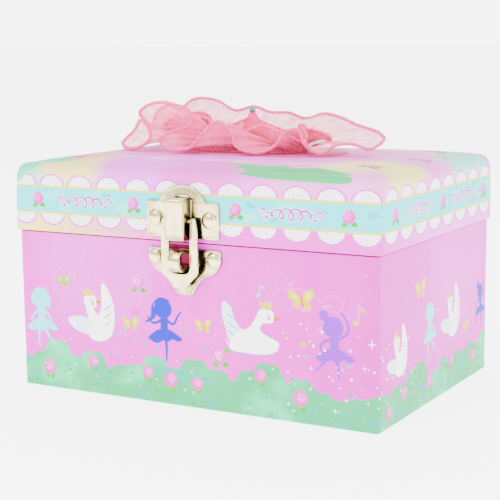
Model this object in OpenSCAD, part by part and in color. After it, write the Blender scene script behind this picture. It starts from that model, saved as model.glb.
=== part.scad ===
// Musical ballerina jewellery box, closed and latched, dancer folded under the lid.
// Front is -Y, +X is to the right seen from the front, origin at the middle of the underside.

/* [Box] */
// Width of the base outside its printed paper
base_w = 150; // [140:1:160]
// Depth of the base outside its printed paper
base_d = 106; // [100:1:112]
// Height of the base, up to the seam
base_h = 60; // [58:1:62]
// How far the lid stands out past the base on every side
lid_overhang = 1; // [0.8:0.1:1.5]
// Height of the lid's straight sides and rounded edge
lid_h = 25.4; // [24:0.2:27]
// How far the padded top rises above the rounded edge
crown_h = 2; // [1:0.5:3]
// Thickness of the cardboard
board = 2.6; // [2:0.2:3]
// Thickness of the printed paper wrap
paper = 0.4; // [0.3:0.1:0.5]

/* [Inside] */
// Height of the top of the stage board
stage_top = 41.2; // [40:0.2:43]
// Number of ring rolls
roll_count = 3; // [2:1:3]
// Radius of one padded ring roll
roll_r = 4.2; // [3.8:0.1:4.2]
// Width of the mirror
mirror_w = 112; // [90:1:116]
// Depth of the mirror
mirror_d = 72; // [60:1:76]

/* [Latch] */
// Width of the upper latch plate across its ears
plate_w = 30; // [28:1:32]
// Radius of the arch of the upper plate
arch_r = 11.2; // [10.5:0.1:11.5]
// Width of the hasp
hasp_w = 15; // [14:0.5:16]
// Width of the slot in the hasp
slot_w = 8.6; // [8.5:0.1:9]
// Outer radius of the staple's eye
eye_r = 4; // [3.8:0.1:4]

/* [Movement] */
// Radius of the pinned cylinder
drum_r = 6.5; // [6:0.1:6.5]
// Number of comb teeth
comb_teeth = 18; // [12:1:18]
// Height of the cylinder's pins
pin_h = 0.9; // [0.6:0.1:0.9]
// Radius of the mainspring barrel
barrel_r = 10; // [8:0.5:10]

/* [Dancer] */
// Radius of the dancer's net skirt
skirt_r = 13; // [10:0.5:13]
// How far the dancer leans forward under the closed lid, in degrees
fold = 60; // [55:1:60]

/* [Hidden] */
$fn = 48;
eps = 0.02;
run = 0.05;                        // radial clearance of a turning shaft

// Outer faces, and the faces of the cardboard under the paper
bx = base_w / 2;
by = base_d / 2;
lx = bx + lid_overhang;
ly = by + lid_overhang;
seam_gap = 0.6;
lid_z = base_h + seam_gap;
lid_edge = lid_z + lid_h;
lid_top = lid_edge + crown_h;
floor_t = 3;
inner_x = bx - paper - board;
inner_y = by - paper - board;
lid_inner_x = lx - paper - board;
lid_inner_y = ly - paper - board;
ceiling = lid_edge - 6;
top_board_z = ceiling + 3;
corner_r = 1.5;
edge_r = 4;
lining = 0.5;
lining_top = base_h - 1;
stage_t = 1.2;
partition_t = 1.2;
divider_y = 8;
divider_top = 30;
foam = 0.1;

// Spindle and movement shafts
spindle = [-26, 4];
shaft_z = 20;
cyl_x = spindle[0];
bed_z0 = floor_t;
bed_z1 = floor_t + 1.5;
barrel_mod = 0.6;
barrel_teeth = 45;
cyl_teeth = 15;
barrel_x = cyl_x - barrel_mod * (barrel_teeth + cyl_teeth) / 2;
fine_mod = 0.5;
crown_teeth = 36;
gov_pinion_teeth = 12;
gov_teeth = 24;
spindle_teeth = 18;
gov_angle = 200;
gov_dist = fine_mod * (crown_teeth + gov_pinion_teeth) / 2;
gov_x = cyl_x + gov_dist * cos(gov_angle);
gov_z = shaft_z + gov_dist * sin(gov_angle);
gov_y = spindle[1] + 1;
worm_r = 1.6;
worm_e = 0.5;
worm_pitch = PI * fine_mod;
worm_turns = 5;
fly_x = gov_x - fine_mod * gov_teeth / 2 - worm_r;
fly_r = 6;
fly_disc_r = 5;
fly_disc_z = 26.2;
fly_disc_t = 0.8;
crown_face = spindle[1] + fine_mod * spindle_teeth / 2;
crown_y0 = crown_face - fine_mod;
crown_disc = crown_face + 1.2 * fine_mod;
crown_flange = 0.6;
cheek_y = crown_face + 3;
cheek_t = 1.5;
cyl_y0 = cheek_y + cheek_t + 0.5;
tooth_pitch = 1.1;
cyl_len = 20;
cyl_y1 = cyl_y0 + cyl_len;
gear_y = cyl_y1 + 0.5;
gear_t = 2.5;
rear_y = gear_y + gear_t + 2.5;
comb_gap = 0.05;
comb_x = cyl_x + drum_r + pin_h + comb_gap;
comb_t = 0.8;
comb_y0 = cyl_y0 + 0.1;
comb_w = comb_teeth * tooth_pitch;
comb_root = -9.5;
comb_end = -3;
small_shaft = 0.8;
shaft_r = 1;
arbor_r = 1.5;
crown_r = fine_mod * crown_teeth / 2;
pinion_z = shaft_z + crown_r - 0.7;
pinion_t = 1.4;

// Dancer
pivot_z = 50;
spring_half = 5;
spring_r = 1.6;
skirt_h = 20.5;

// Stop wire that brakes the fly
wire_r = 0.6;
wire = [-69.5, 34];
wire_top = 61.8;
wire_z = fly_disc_z + fly_disc_t + 0.1 + wire_r;
pad_z = 62;

// Key behind the box
key_y0 = by + 1;

// Latch
lat_y = -ly;
plate_t = 0.8;
pivot_y = lat_y - 2.9;
latch_z = 68.4;
block_w = 7.5;
block_front = lat_y - 7;
block_z0 = 61.8;
block_z1 = 76.7;
hasp_y0 = pivot_y - 0.5;
hasp_t = 1;
peg_r = 0.8;
eye_z = 54.3;
eye_len = 4.5;
eye_wall = 1.2;
eye_y = -by - plate_t - eye_r + 0.1;
rivet_r = 3;
rivet_h = 1.5;
shank_r = 1;
upper_rivets = [[-11.2, 68.8], [11.2, 68.8]];
lower_rivets = [[-12.2, 54.6], [12.2, 54.6], [0, 44.2]];

// Butt hinges on the back
hinge_y = ly + 1.5;
hinge_z = base_h + 0.3;
hinge_x = [-45, 45];
knuckle_r = 1.2;
knuckle_pin = 0.6;
leaf_t = 0.6;
leaf_h = 11;
leaf_w = 16;
tack_x = [-5, 5];
tack_r = 0.6;
base_tack_z = hinge_z - 7;
lid_tack_z = hinge_z + 7;

screw_at = [[-62, -2], [-62, 38], [-12, 0]];

// ---- helpers ----

// Two limits, low and high, counted from a middle
function about(middle, low, high) = [middle + low, middle + high];

module box(x, y, z) {
  translate([x[0], y[0], z[0]]) cube([x[1] - x[0], y[1] - y[0], z[1] - z[0]]);
}

module x_rod(y, z, x0, x1, r) {
  translate([x0, y, z]) rotate([0, 90, 0]) cylinder(r = r, h = x1 - x0);
}

module y_rod(x, z, y0, y1, r) {
  translate([x, y1, z]) rotate([90, 0, 0]) cylinder(r = r, h = y1 - y0);
}

module z_rod(x, y, z0, z1, r) {
  translate([x, y, z0]) cylinder(r = r, h = z1 - z0);
}

// Flat outline drawn in X and Z, extruded along Y
module facing(y0, y1) {
  translate([0, y1, 0]) rotate([90, 0, 0]) linear_extrude(y1 - y0) children();
}

module rounded_rect(w, d, r) {
  square([w - 2 * r, d], center = true);
  square([w, d - 2 * r], center = true);
  for (x = [-1, 1], y = [-1, 1]) translate([x * (w / 2 - r), y * (d / 2 - r)]) circle(r);
}

// One tooth: distance from the pitch circle in modules, and angle as a part of the tooth's width
tooth = [[-1.2, -0.62], [0, -0.5], [0.85, -0.22], [0.85, 0.22], [0, 0.5], [-1.2, 0.62]];
tooth_fill = 0.4;                  // width of a tooth at the pitch circle, as a part of the pitch

// One gear outline: straight flanks between root, pitch line and tip
function gear_points(teeth, mod) = [
  for (i = [0 : teeth - 1], p = tooth)
    let (r = mod * (teeth / 2 + p[0]), a = (i + p[1] * tooth_fill) * 360 / teeth)
    [r * cos(a), r * sin(a)]];

module gear(teeth, mod, t) {
  linear_extrude(t) polygon(gear_points(teeth, mod));
}

// Gear on a shaft that lies along Y
module y_gear(x, z, y0, teeth, mod, t, turn = 0) {
  translate([x, y0 + t, z]) rotate([90, 0, 0]) rotate(turn) gear(teeth, mod, t);
}

module rod_between(a, b, r1, r2) {
  d = b - a;
  translate(a)
    rotate([0, acos(d[2] / norm(d)), atan2(d[1], d[0])])
    cylinder(r1 = r1, r2 = r2, h = norm(d), $fn = 24);
}

module dome(at, y, r, h) {
  big = (r * r + h * h) / (2 * h);
  intersection() {
    translate([at[0], y - h + big, at[1]]) sphere(big);
    y_rod(at[0], at[1], y - h - 1, y, r);
  }
}

// ---- holes that several pieces share ----

module front_rivet_holes(at) {
  for (p = at) y_rod(p[0], p[1], -ly - 2, -inner_y + 5, shank_r + run);
}

module tack_holes(z) {
  for (h = hinge_x, t = tack_x) y_rod(h + t, z, inner_y + 0.5, hinge_y + 1, tack_r + run);
}

module key_hole() {
  y_rod(barrel_x, shaft_z, inner_y - 1, by + 1, 3);
}

module screw_holes(r) {
  for (p = screw_at) z_rod(p[0], p[1], -1, bed_z1 + 1, r);
}

// ---- case ----

module case_core(z0, z1) {
  translate([0, 0, z0]) linear_extrude(z1 - z0)
    rounded_rect(base_w - 2 * paper, base_d - 2 * paper, corner_r - paper);
}

module front_board() {
  color("burlywood") difference() {
    intersection() {
      box([-bx, bx], [-by, -inner_y], [floor_t, base_h]);
      case_core(floor_t, base_h);
    }
    front_rivet_holes(lower_rivets);
  }
}

module back_board() {
  color("burlywood") difference() {
    intersection() {
      box([-bx, bx], [inner_y, by], [floor_t, base_h]);
      case_core(floor_t, base_h);
    }
    key_hole();
    tack_holes(base_tack_z);
  }
}

module left_board() {
  color("burlywood") box([-bx + paper, -inner_x], [-inner_y, inner_y], [floor_t, base_h]);
}

module right_board() {
  color("burlywood") mirror([1, 0, 0]) left_board();
}

module floor_board() {
  color("burlywood") difference() {
    case_core(0, floor_t);
    screw_holes(1.2 + run);
    for (p = screw_at) z_rod(p[0], p[1], -1, 1.4, 2.6);
  }
}

module case_wrap() {
  color("pink") difference() {
    linear_extrude(base_h) rounded_rect(base_w, base_d, corner_r);
    case_core(-1, base_h + 1);
    front_rivet_holes(lower_rivets);
    key_hole();
    tack_holes(base_tack_z);
  }
}

module case_lining() {
  color("lavenderblush") difference() {
    union() {
      box([0, inner_x], [-inner_y, inner_y], [floor_t, lining_top]);
      box([-inner_x, 0], [-inner_y, inner_y], [stage_top, lining_top]);
    }
    box([lining, inner_x - lining], [-inner_y + lining, inner_y - lining], [floor_t + lining, base_h]);
    box([-inner_x + lining, lining + 1], [-inner_y + lining, inner_y - lining], [stage_top - 1, base_h]);
    front_rivet_holes(lower_rivets);
  }
}

module stage_board() {
  color("orchid") difference() {
    box([-inner_x, 0], [-inner_y, inner_y], [stage_top - stage_t, stage_top]);
    z_rod(spindle[0], spindle[1], 0, base_h, 2);
    z_rod(wire[0], wire[1], 0, base_h, wire_r + 0.1);
  }
}

module movement_partition() {
  color("orchid") box([-partition_t, 0], [-inner_y, inner_y], [floor_t, stage_top - stage_t]);
}

module compartment_divider() {
  color("lavenderblush")
    box([lining, inner_x - lining], about(divider_y, -0.6, 0.6), [floor_t + lining, divider_top]);
}

module ring_rolls() {
  first = -inner_y + lining + roll_r + foam;
  color("hotpink") for (i = [0 : roll_count - 1])
    difference() {
      x_rod(first + i * (2 * roll_r + 0.4), stage_top + 2.8, -inner_x + 1, -3.5, roll_r);
      box([-inner_x, 0], [-inner_y, 0], [stage_top - 5, stage_top]);
    }
}

module stage_bushing() {
  color("gold") difference() {
    union() {
      z_rod(spindle[0], spindle[1], stage_top, stage_top + 0.8, 4);
      z_rod(spindle[0], spindle[1], stage_top - stage_t, stage_top, 2 - run);
    }
    z_rod(spindle[0], spindle[1], 0, base_h, shaft_r + run);
  }
}

// ---- latch ----

module latch_lower_plate() {
  color("lightgoldenrodyellow") difference() {
    facing(-by - plate_t, -by) {
      translate([-15, 53.5]) square([30, 4.5]);
      for (s = [-1, 1]) translate([s * 10.5, 53.5]) circle(4.5);
      translate([-10.5, 49]) square([21, 6]);
      polygon([[-11, 49.1], [-7, 47.6], [-4.4, 45], [4.4, 45], [7, 47.6], [11, 49.1]]);
      translate([0, 45]) circle(4.4);
    }
    front_rivet_holes(lower_rivets);
  }
}

module latch_staple() {
  color("lightgoldenrodyellow") difference() {
    union() {
      x_rod(eye_y, eye_z, -eye_len / 2, eye_len / 2, eye_r);
      box([-eye_len / 2, eye_len / 2], [-by - plate_t - 1, -by - plate_t], [eye_z - 2.6, eye_z + 2.6]);
    }
    x_rod(eye_y, eye_z, -eye_len, eye_len, eye_r - eye_wall);
    box([-5, 5], [-by - plate_t, -by + 2], [eye_z - 5, eye_z + 5]);
  }
}

module rivets(at, y, shank_y1) {
  for (p = at) {
    dome(p, y, rivet_r, rivet_h);
    y_rod(p[0], p[1], y - eps, shank_y1, shank_r);
    y_rod(p[0], p[1], shank_y1, shank_y1 + 0.6, 2);
  }
}

module latch_lower_rivets() {
  color("silver") rivets(lower_rivets, -by - plate_t, -inner_y + lining);
}

module latch_upper_plate() {
  color("lightgoldenrodyellow") difference() {
    union() {
      facing(lat_y - plate_t, lat_y) {
        translate([-plate_w / 2, 62]) square([plate_w, 13]);
        intersection() {
          translate([0, 69.7]) circle(arch_r);
          translate([-plate_w / 2, 62]) square([plate_w, 30]);
        }
      }
      difference() {
        union() {
          box([-block_w / 2, block_w / 2], [block_front, lat_y], [block_z0, block_z1 - 2]);
          box([-block_w / 2, block_w / 2], [block_front + 2, lat_y], [block_z0, block_z1]);
          x_rod(block_front + 2, block_z1 - 2, -block_w / 2, block_w / 2, 2);
        }
        box([-block_w / 2 + 1, block_w / 2 - 1], [block_front + 1, lat_y - plate_t],
          [block_z0 - 1, block_z1 - 1.6]);
      }
    }
    x_rod(pivot_y, latch_z, -6, 6, peg_r + run);
    front_rivet_holes(upper_rivets);
  }
}

module latch_upper_rivets() {
  color("silver") rivets(upper_rivets, lat_y - plate_t, -lid_inner_y + lining);
}

module hasp_outline() {
  half = hasp_w / 2;
  polygon([
    [-half, 64], [-half + 0.6, latch_z], [-slot_w / 2 - 0.3, latch_z], [-slot_w / 2, 64],
    [-slot_w / 2, 49.6], [slot_w / 2, 49.6], [slot_w / 2, 64], [slot_w / 2 + 0.3, latch_z],
    [half - 0.6, latch_z], [half, 64], [half, 49.2], [5.8, 48.2], [3.2, 45.3], [-3.2, 45.3],
    [-5.8, 48.2], [-half, 49.2]]);
  translate([0, 46.7]) circle(2.7);
  for (s = [-1, 1]) translate([s * 1.7, 46.4]) circle(2);
  for (s = [-1, 1]) translate([s * (slot_w / 2 + 1.45), latch_z]) circle(1.15);
}

module hasp() {
  color("lightgoldenrodyellow") {
    facing(hasp_y0, hasp_y0 + hasp_t) hasp_outline();
    for (s = [-1, 1])
      x_rod(pivot_y, latch_z, s > 0 ? 2.4 : -slot_w / 2 - 1, s > 0 ? slot_w / 2 + 1 : -2.4, peg_r);
  }
}

// ---- butt hinges ----

module knuckles(spans, side) {
  for (h = hinge_x, s = spans) difference() {
    union() {
      x_rod(hinge_y, hinge_z, h + s[0], h + s[1], knuckle_r);
      if (side < 0)
        box([h + s[0], h + s[1]], [by, hinge_y], [hinge_z - knuckle_r, hinge_z - knuckle_pin - run]);
      else
        box([h + s[0], h + s[1]], [ly, hinge_y], [hinge_z + knuckle_pin + run + 0.3, hinge_z + knuckle_r]);
    }
    x_rod(hinge_y, hinge_z, h - leaf_w, h + leaf_w, knuckle_pin + run);
    box([h - leaf_w, h + leaf_w], [ly - 3, ly + 0.3 * (1 - side) / 2], [hinge_z - 0.4, hinge_z + 5]);
  }
}

module hinge_base_leaves() {
  color("gold") {
    difference() {
      for (h = hinge_x)
        box([h - leaf_w / 2, h + leaf_w / 2], [by, by + leaf_t], [hinge_z - leaf_h, hinge_z - 0.7]);
      tack_holes(base_tack_z);
    }
    knuckles([[-leaf_w / 2, -2.7], [2.7, leaf_w / 2]], -1);
  }
}

module hinge_lid_leaves() {
  color("gold") {
    difference() {
      for (h = hinge_x)
        box([h - leaf_w / 2, h + leaf_w / 2], [ly, ly + leaf_t], [hinge_z + 1, hinge_z + leaf_h]);
      tack_holes(lid_tack_z);
    }
    knuckles([[-2.5, 2.5]], 1);
  }
}

module hinge_pins() {
  color("silver") for (h = hinge_x)
    x_rod(hinge_y, hinge_z, h - leaf_w / 2 - 0.6, h + leaf_w / 2 + 0.6, knuckle_pin);
}

module tacks(z, y) {
  for (h = hinge_x, t = tack_x) {
    translate([0, 2 * y, 0]) mirror([0, 1, 0]) dome([h + t, z], y, 1.3, 0.6);
    y_rod(h + t, z, inner_y + 1, y + eps, tack_r);
  }
}

module hinge_base_tacks() {
  color("gold") tacks(base_tack_z, by + leaf_t);
}

module hinge_lid_tacks() {
  color("gold") tacks(lid_tack_z, ly + leaf_t);
}

// ---- musical movement: fixed pieces ----

module bedplate() {
  color("silver") difference() {
    union() {
      box([-66, comb_end + 0.5], [-7, 43], [bed_z0, bed_z1]);
      box([comb_root, comb_end], about(comb_y0, 0, comb_w), [bed_z0, shaft_z]);
    }
    screw_holes(1.2 + run);
    for (y = [4, 16]) z_rod(-6, cyl_y0 + y, bed_z1 + 4, shaft_z + 1, 1 + run);
  }
}

module cheek(y0, x0, z1) {
  difference() {
    box([x0, cyl_x + 9], [y0, y0 + cheek_t], [bed_z1, z1]);
    y_rod(cyl_x, shaft_z, y0 - 1, y0 + cheek_t + 1, shaft_r + run);
    y_rod(barrel_x, shaft_z, y0 - 1, y0 + cheek_t + 1, arbor_r + run);
    y_rod(gov_x, gov_z, y0 - 1, y0 + cheek_t + 1, small_shaft + run);
  }
}

module front_cheek() {
  color("goldenrod") cheek(cheek_y, barrel_x - 6, 26);
}

module rear_cheek() {
  color("goldenrod") cheek(rear_y, barrel_x - 10, 29);
}

module comb() {
  color("lightsteelblue") difference() {
    box([comb_x, comb_end], about(comb_y0, 0, comb_w), [shaft_z, shaft_z + comb_t]);
    for (i = [1 : comb_teeth - 1])
      box([comb_x - 1, comb_root - 0.5 - i * 0.12], about(comb_y0 + i * tooth_pitch, -0.12, 0.12),
        [shaft_z - 1, shaft_z + 2]);
    for (y = [4, 16]) z_rod(-6, cyl_y0 + y, shaft_z - 1, shaft_z + 2, 1 + run);
  }
}

module comb_screws() {
  color("silver") for (y = [4, 16]) difference() {
    union() {
      z_rod(-6, cyl_y0 + y, bed_z1 + 4.2, shaft_z + comb_t + eps, 1);
      z_rod(-6, cyl_y0 + y, shaft_z + comb_t, shaft_z + comb_t + 1.2, 2);
    }
    box([-9, -3], about(cyl_y0 + y, -0.25, 0.25), about(shaft_z + comb_t, 0.6, 2));
  }
}

module governor_bracket() {
  plate_x = fly_x - 8.5;
  color("goldenrod") difference() {
    union() {
      box([plate_x - 4, plate_x + 1.5], [gov_y - 4, gov_y + 4], [bed_z1, bed_z1 + 1.5]);
      box([plate_x, plate_x + 1.5], [gov_y - 4, gov_y + 4], [bed_z1, 30]);
      box([plate_x, fly_x + 2.3], [gov_y - 2, gov_y + 2], [7.5, 9]);
      box([plate_x, fly_x + 2.3], [gov_y - 2, gov_y + 2], [28.5, 30]);
      box([plate_x, gov_x + 2.8], [gov_y - 4, gov_y - 2.5], [gov_z - 2.8, gov_z + 2.8]);
    }
    z_rod(fly_x, gov_y, 5, 35, small_shaft + run);
    y_rod(gov_x, gov_z, gov_y - 6, gov_y, small_shaft + run);
  }
}

module spindle_bracket() {
  color("goldenrod") difference() {
    union() {
      box([spindle[0] - 4, spindle[0] + 4], [spindle[1] - 10, spindle[1] - 5.5], [bed_z1, bed_z1 + 1.5]);
      box([spindle[0] - 4, spindle[0] + 4], [spindle[1] - 7, spindle[1] - 5.5], [bed_z1, 26]);
      box([spindle[0] - 4, spindle[0] + 4], [spindle[1] - 7, spindle[1] + 3], [24.5, 26]);
    }
    z_rod(spindle[0], spindle[1], 20, 30, shaft_r + run);
  }
}

module mounting_screws() {
  color("silver") for (p = screw_at) {
    z_rod(p[0], p[1], 0.2, 1.4, 2.5);
    z_rod(p[0], p[1], 1.3, bed_z1 + 0.8, 1.2);
  }
}

// ---- musical movement: moving pieces ----

module music_cylinder() {
  color("gold") {
    y_rod(cyl_x, shaft_z, cyl_y0, cyl_y1, drum_r);
    y_rod(cyl_x, shaft_z, crown_disc - 0.4, rear_y + cheek_t, shaft_r);
    y_gear(cyl_x, shaft_z, gear_y, cyl_teeth, barrel_mod, gear_t);
    y_rod(cyl_x, shaft_z, cyl_y1 - 0.1, gear_y + 0.1, 3);
    for (i = [0 : comb_teeth - 1], k = [0 : 2]) {
      turn = 47 * i + 120 * k + 11 * i * k;
      translate([cyl_x, comb_y0 + (i + 0.5) * tooth_pitch, shaft_z])
        rotate([0, turn, 0]) translate([0, 0, drum_r - 0.3]) cylinder(r = 0.22, h = pin_h + 0.3, $fn = 16);
    }
  }
}

// Face teeth for the spindle on the front of a flange, with a spur gear behind it
module crown_wheel() {
  rim_y = crown_disc + crown_flange;
  color("gold") difference() {
    union() {
      y_gear(cyl_x, shaft_z, rim_y, crown_teeth, fine_mod, cheek_y - 0.5 - rim_y);
      y_rod(cyl_x, shaft_z, crown_disc, rim_y, crown_r + 0.9);
      for (i = [0 : crown_teeth - 1])
        translate([cyl_x, 0, shaft_z]) rotate([0, i * 360 / crown_teeth, 0])
          translate([0, 0, crown_r - 0.7]) linear_extrude(1.4) face_tooth();
    }
    y_rod(cyl_x, shaft_z, crown_y0 - 1, cheek_y, shaft_r);
  }
}

module face_tooth() {
  root_y = crown_disc + 0.2;
  polygon([[-0.3, root_y], [-0.13, crown_y0], [0.13, crown_y0], [0.3, root_y]]);
}

module spring_barrel() {
  color("gold") difference() {
    union() {
      y_rod(barrel_x, shaft_z, gear_y - 16, gear_y + 0.5, barrel_r);
      y_gear(barrel_x, shaft_z, gear_y, barrel_teeth, barrel_mod, gear_t);
    }
    y_rod(barrel_x, shaft_z, gear_y - 15, gear_y - 0.5, barrel_r - 0.8);
    y_rod(barrel_x, shaft_z, gear_y - 17, gear_y + 4, arbor_r + run);
  }
}

// Spiral strip, wound loosely inside the barrel
module mainspring() {
  turns = 7;
  steps = 24;
  inner = arbor_r + 0.5;
  step_r = (barrel_r - 1 - 0.3 - inner) / turns;
  spiral = [for (i = [0 : turns * steps]) let (a = i * 360 / steps, r = inner + step_r * i / steps) [r, a]];
  outline = concat(
    [for (p = spiral) [p[0] * cos(p[1]), p[0] * sin(p[1])]],
    [for (i = [len(spiral) - 1 : -1 : 0])
      let (p = spiral[i]) [(p[0] + 0.3) * cos(p[1]), (p[0] + 0.3) * sin(p[1])]]);
  color("slategray") translate([barrel_x, gear_y - 1, shaft_z]) rotate([90, 0, 0])
    linear_extrude(13.5) polygon(outline);
}

module winding_arbor() {
  color("silver") y_rod(barrel_x, shaft_z, cheek_y, key_y0 + 3, arbor_r);
}

module ratchet_wheel() {
  teeth = 16;
  color("goldenrod") difference() {
    translate([barrel_x, rear_y + cheek_t + 2, shaft_z]) rotate([90, 0, 0]) linear_extrude(1.5)
      polygon([for (i = [0 : teeth - 1], p = [[4.1, 0], [5, 0.05]])
        [p[0] * cos((i + p[1]) * 360 / teeth), p[0] * sin((i + p[1]) * 360 / teeth)]]);
    y_rod(barrel_x, shaft_z, rear_y, inner_y, arbor_r);
  }
}

module winding_key() {
  wing_y = key_y0 + 9;
  color("gold") difference() {
    union() {
      y_rod(barrel_x, shaft_z, key_y0, key_y0 + 5, 3);
      y_rod(barrel_x, shaft_z, key_y0 + 4, key_y0 + 6, 2.2);
      translate([barrel_x, wing_y, shaft_z - 0.75]) linear_extrude(1.5) {
        for (s = [-1, 1]) translate([s * 6.5, 0]) difference() {
          circle(5.2);
          circle(2.2);
        }
        square([7, 6], center = true);
      }
    }
    y_rod(barrel_x, shaft_z, key_y0 - 1, key_y0 + 3, arbor_r);
  }
}

module governor_wheel() {
  color("gold") {
    y_gear(gov_x, gov_z, gov_y - 0.5, gov_teeth, fine_mod, 1);
    y_rod(gov_x, gov_z, gov_y - 1, gov_y + 1, 2);
    y_rod(gov_x, gov_z, gov_y - 4, cheek_y + cheek_t, small_shaft);
    y_gear(gov_x, gov_z, crown_disc + crown_flange + 0.1, gov_pinion_teeth, fine_mod,
      cheek_y - 0.6 - crown_disc - crown_flange, 5);
  }
}

module governor_fly() {
  worm_h = worm_turns * worm_pitch;
  color("silver") {
    z_rod(fly_x, gov_y, 7.6, 29.8, small_shaft);
    translate([fly_x, gov_y, gov_z - worm_h / 2])
      linear_extrude(worm_h, twist = -360 * worm_turns, slices = 12 * worm_turns)
      translate([worm_e, 0]) circle(worm_r, $fn = 16);
    z_rod(fly_x, gov_y, fly_disc_z, fly_disc_z + fly_disc_t, fly_disc_r);
    z_rod(fly_x, gov_y, 22.8, fly_disc_z + eps, 1.6);
    box([fly_x - fly_r, fly_x + fly_r], [gov_y - 0.25, gov_y + 0.25], [22.8, fly_disc_z + eps]);
  }
}

module dancer_spindle() {
  color("gold") {
    z_rod(spindle[0], spindle[1], 24, pivot_z - spring_half - 2, shaft_r);
    z_rod(spindle[0], spindle[1], pinion_z + pinion_t - eps, pinion_z + pinion_t + 1.5, 2.4);
    z_rod(spindle[0], spindle[1], stage_top + 1.1, pivot_z - spring_half, 1.9);
    translate([spindle[0], spindle[1], pinion_z]) gear(spindle_teeth, fine_mod, pinion_t);
  }
}

// The fat outer shape of the coil spring, bent as it is under the closed lid
module dancer_spring() {
  bend_r = spring_half / tan(fold / 2);
  color("silver") translate([spindle[0], spindle[1] - bend_r, pivot_z - spring_half])
    rotate([90, 0, 90]) rotate_extrude(angle = fold) translate([bend_r, 0]) circle(spring_r);
}

// ---- dancer ----

module folded() {
  translate([spindle[0], spindle[1], pivot_z]) rotate([fold, 0, 0]) children();
}

// Standing on one toe, the other foot at the knee, arms rounded over the head
module dancer_figure() {
  knee = [-5, -1.4, 15.2];
  color("mistyrose") folded() {
    z_rod(0, 0, spring_half + 0.02, spring_half + 0.8, 1.5);
    rod_between([0, 0, 5.5], [0.3, 0, 13], 0.7, 1.2);
    rod_between([0.3, 0, 12.4], [0.9, 0, 19.5], 1.1, 1.6);
    rod_between([0.7, -0.6, 11.6], knee, 0.6, 1);
    rod_between(knee, [-0.9, 0, 19.5], 0.9, 1.4);
    translate(knee) sphere(1.2, $fn = 24);
    rotate_extrude() polygon([
      [0, 18.6], [2.35, 18.6], [2.35, 20], [1.8, 23],
      [2.5, 27.2], [0.9, 28.6], [0.9, 31.4], [0, 31.4]]);
    translate([0, 0, 33]) sphere(2.6, $fn = 32);
    translate([0, 1.9, 34.8]) sphere(1.4, $fn = 24);
    for (s = [-1, 1]) {
      elbow = [s * 5.8, -0.6, 32.6];
      rod_between([s * 1.8, 0, 27.4], elbow, 0.8, 0.6);
      rod_between(elbow, [s * 1.4, -0.8, 38.8], 0.6, 0.45);
      translate(elbow) sphere(0.8, $fn = 24);
    }
  }
}

module dancer_skirt() {
  color("pink") folded() difference() {
    union() {
      translate([0, 0, skirt_h - 1]) cylinder(r1 = skirt_r, r2 = 4, h = 2.4);
      translate([0, 0, skirt_h - 1.6]) cylinder(r = skirt_r, h = 0.62);
    }
    translate([0, 0, skirt_h - 1.7]) cylinder(r1 = 3.8, r2 = 2.4, h = 3.2);
  }
}

module stop_wire() {
  color("silver") {
    z_rod(wire[0], wire[1], wire_z - wire_r - 0.1, wire_top, wire_r);
    rod_between([wire[0], wire[1], wire_z], [fly_x, gov_y + 4.3, wire_z], wire_r - eps, wire_r - eps);
  }
}

// ---- lid ----

module lid_core(z0, z1) {
  translate([0, 0, z0]) linear_extrude(z1 - z0)
    rounded_rect(2 * (lx - paper), 2 * (ly - paper), corner_r);
}

module lid_front_board() {
  color("burlywood") difference() {
    intersection() {
      box([-lx, lx], [-ly, -lid_inner_y], [lid_z, ceiling]);
      lid_core(lid_z, ceiling);
    }
    front_rivet_holes(upper_rivets);
  }
}

module lid_back_board() {
  color("burlywood") difference() {
    intersection() {
      box([-lx, lx], [lid_inner_y, ly], [lid_z, ceiling]);
      lid_core(lid_z, ceiling);
    }
    tack_holes(lid_tack_z);
  }
}

module lid_left_board() {
  color("burlywood") box([-lx + paper, -lid_inner_x], [-lid_inner_y, lid_inner_y], [lid_z, ceiling]);
}

module lid_right_board() {
  color("burlywood") mirror([1, 0, 0]) lid_left_board();
}

module lid_top_board() {
  color("burlywood") intersection() {
    lid_core(ceiling, top_board_z);
    pillow(paper, ceiling - 5);
  }
}

// The lid's rounded outer shape, shrunk by inset all round
module pillow(inset, z0) {
  round_z = lid_edge - edge_r;
  hull() {
    for (x = [-1, 1], y = [-1, 1]) {
      translate([x * (lx - corner_r), y * (ly - corner_r), z0])
        cylinder(r = corner_r - inset, h = round_z - z0 - 1, $fn = 32);
      translate([x * (lx - edge_r), y * (ly - edge_r), round_z]) sphere(edge_r - inset, $fn = 32);
    }
    translate([0, 0, lid_edge]) linear_extrude(crown_h - inset)
      rounded_rect(2 * lx - 38, 2 * ly - 30, 12);
  }
}

module lid_padding() {
  color("white") intersection() {
    pillow(paper + eps, ceiling - 5);
    box([-lx, lx], [-ly, ly], [top_board_z, lid_top]);
  }
}

module lid_wrap() {
  color("pink") difference() {
    pillow(0, lid_z);
    pillow(paper, lid_z - 1);
    front_rivet_holes(upper_rivets);
    tack_holes(lid_tack_z);
  }
}

module lid_lining() {
  color("lavenderblush") difference() {
    box([-lid_inner_x, lid_inner_x], [-lid_inner_y, lid_inner_y], [lid_z + 0.4, ceiling]);
    box([-lid_inner_x + lining, lid_inner_x - lining], [-lid_inner_y + lining, lid_inner_y - lining],
      [lid_z - 1, ceiling - lining]);
    front_rivet_holes(upper_rivets);
  }
}

module lid_mirror() {
  color("lightcyan")
    box([-mirror_w / 2, mirror_w / 2], [-mirror_d / 2, mirror_d / 2], about(ceiling - lining, -1.2, 0));
}

module mirror_frame() {
  out_w = mirror_w / 2 + 7;
  out_d = mirror_d / 2 + 7;
  color("hotpink") difference() {
    box([-out_w, out_w], [-out_d, out_d], about(ceiling - lining, -1.8, 0));
    box([-mirror_w / 2, mirror_w / 2], [-mirror_d / 2, mirror_d / 2], about(ceiling, -5, 0));
  }
}

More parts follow.
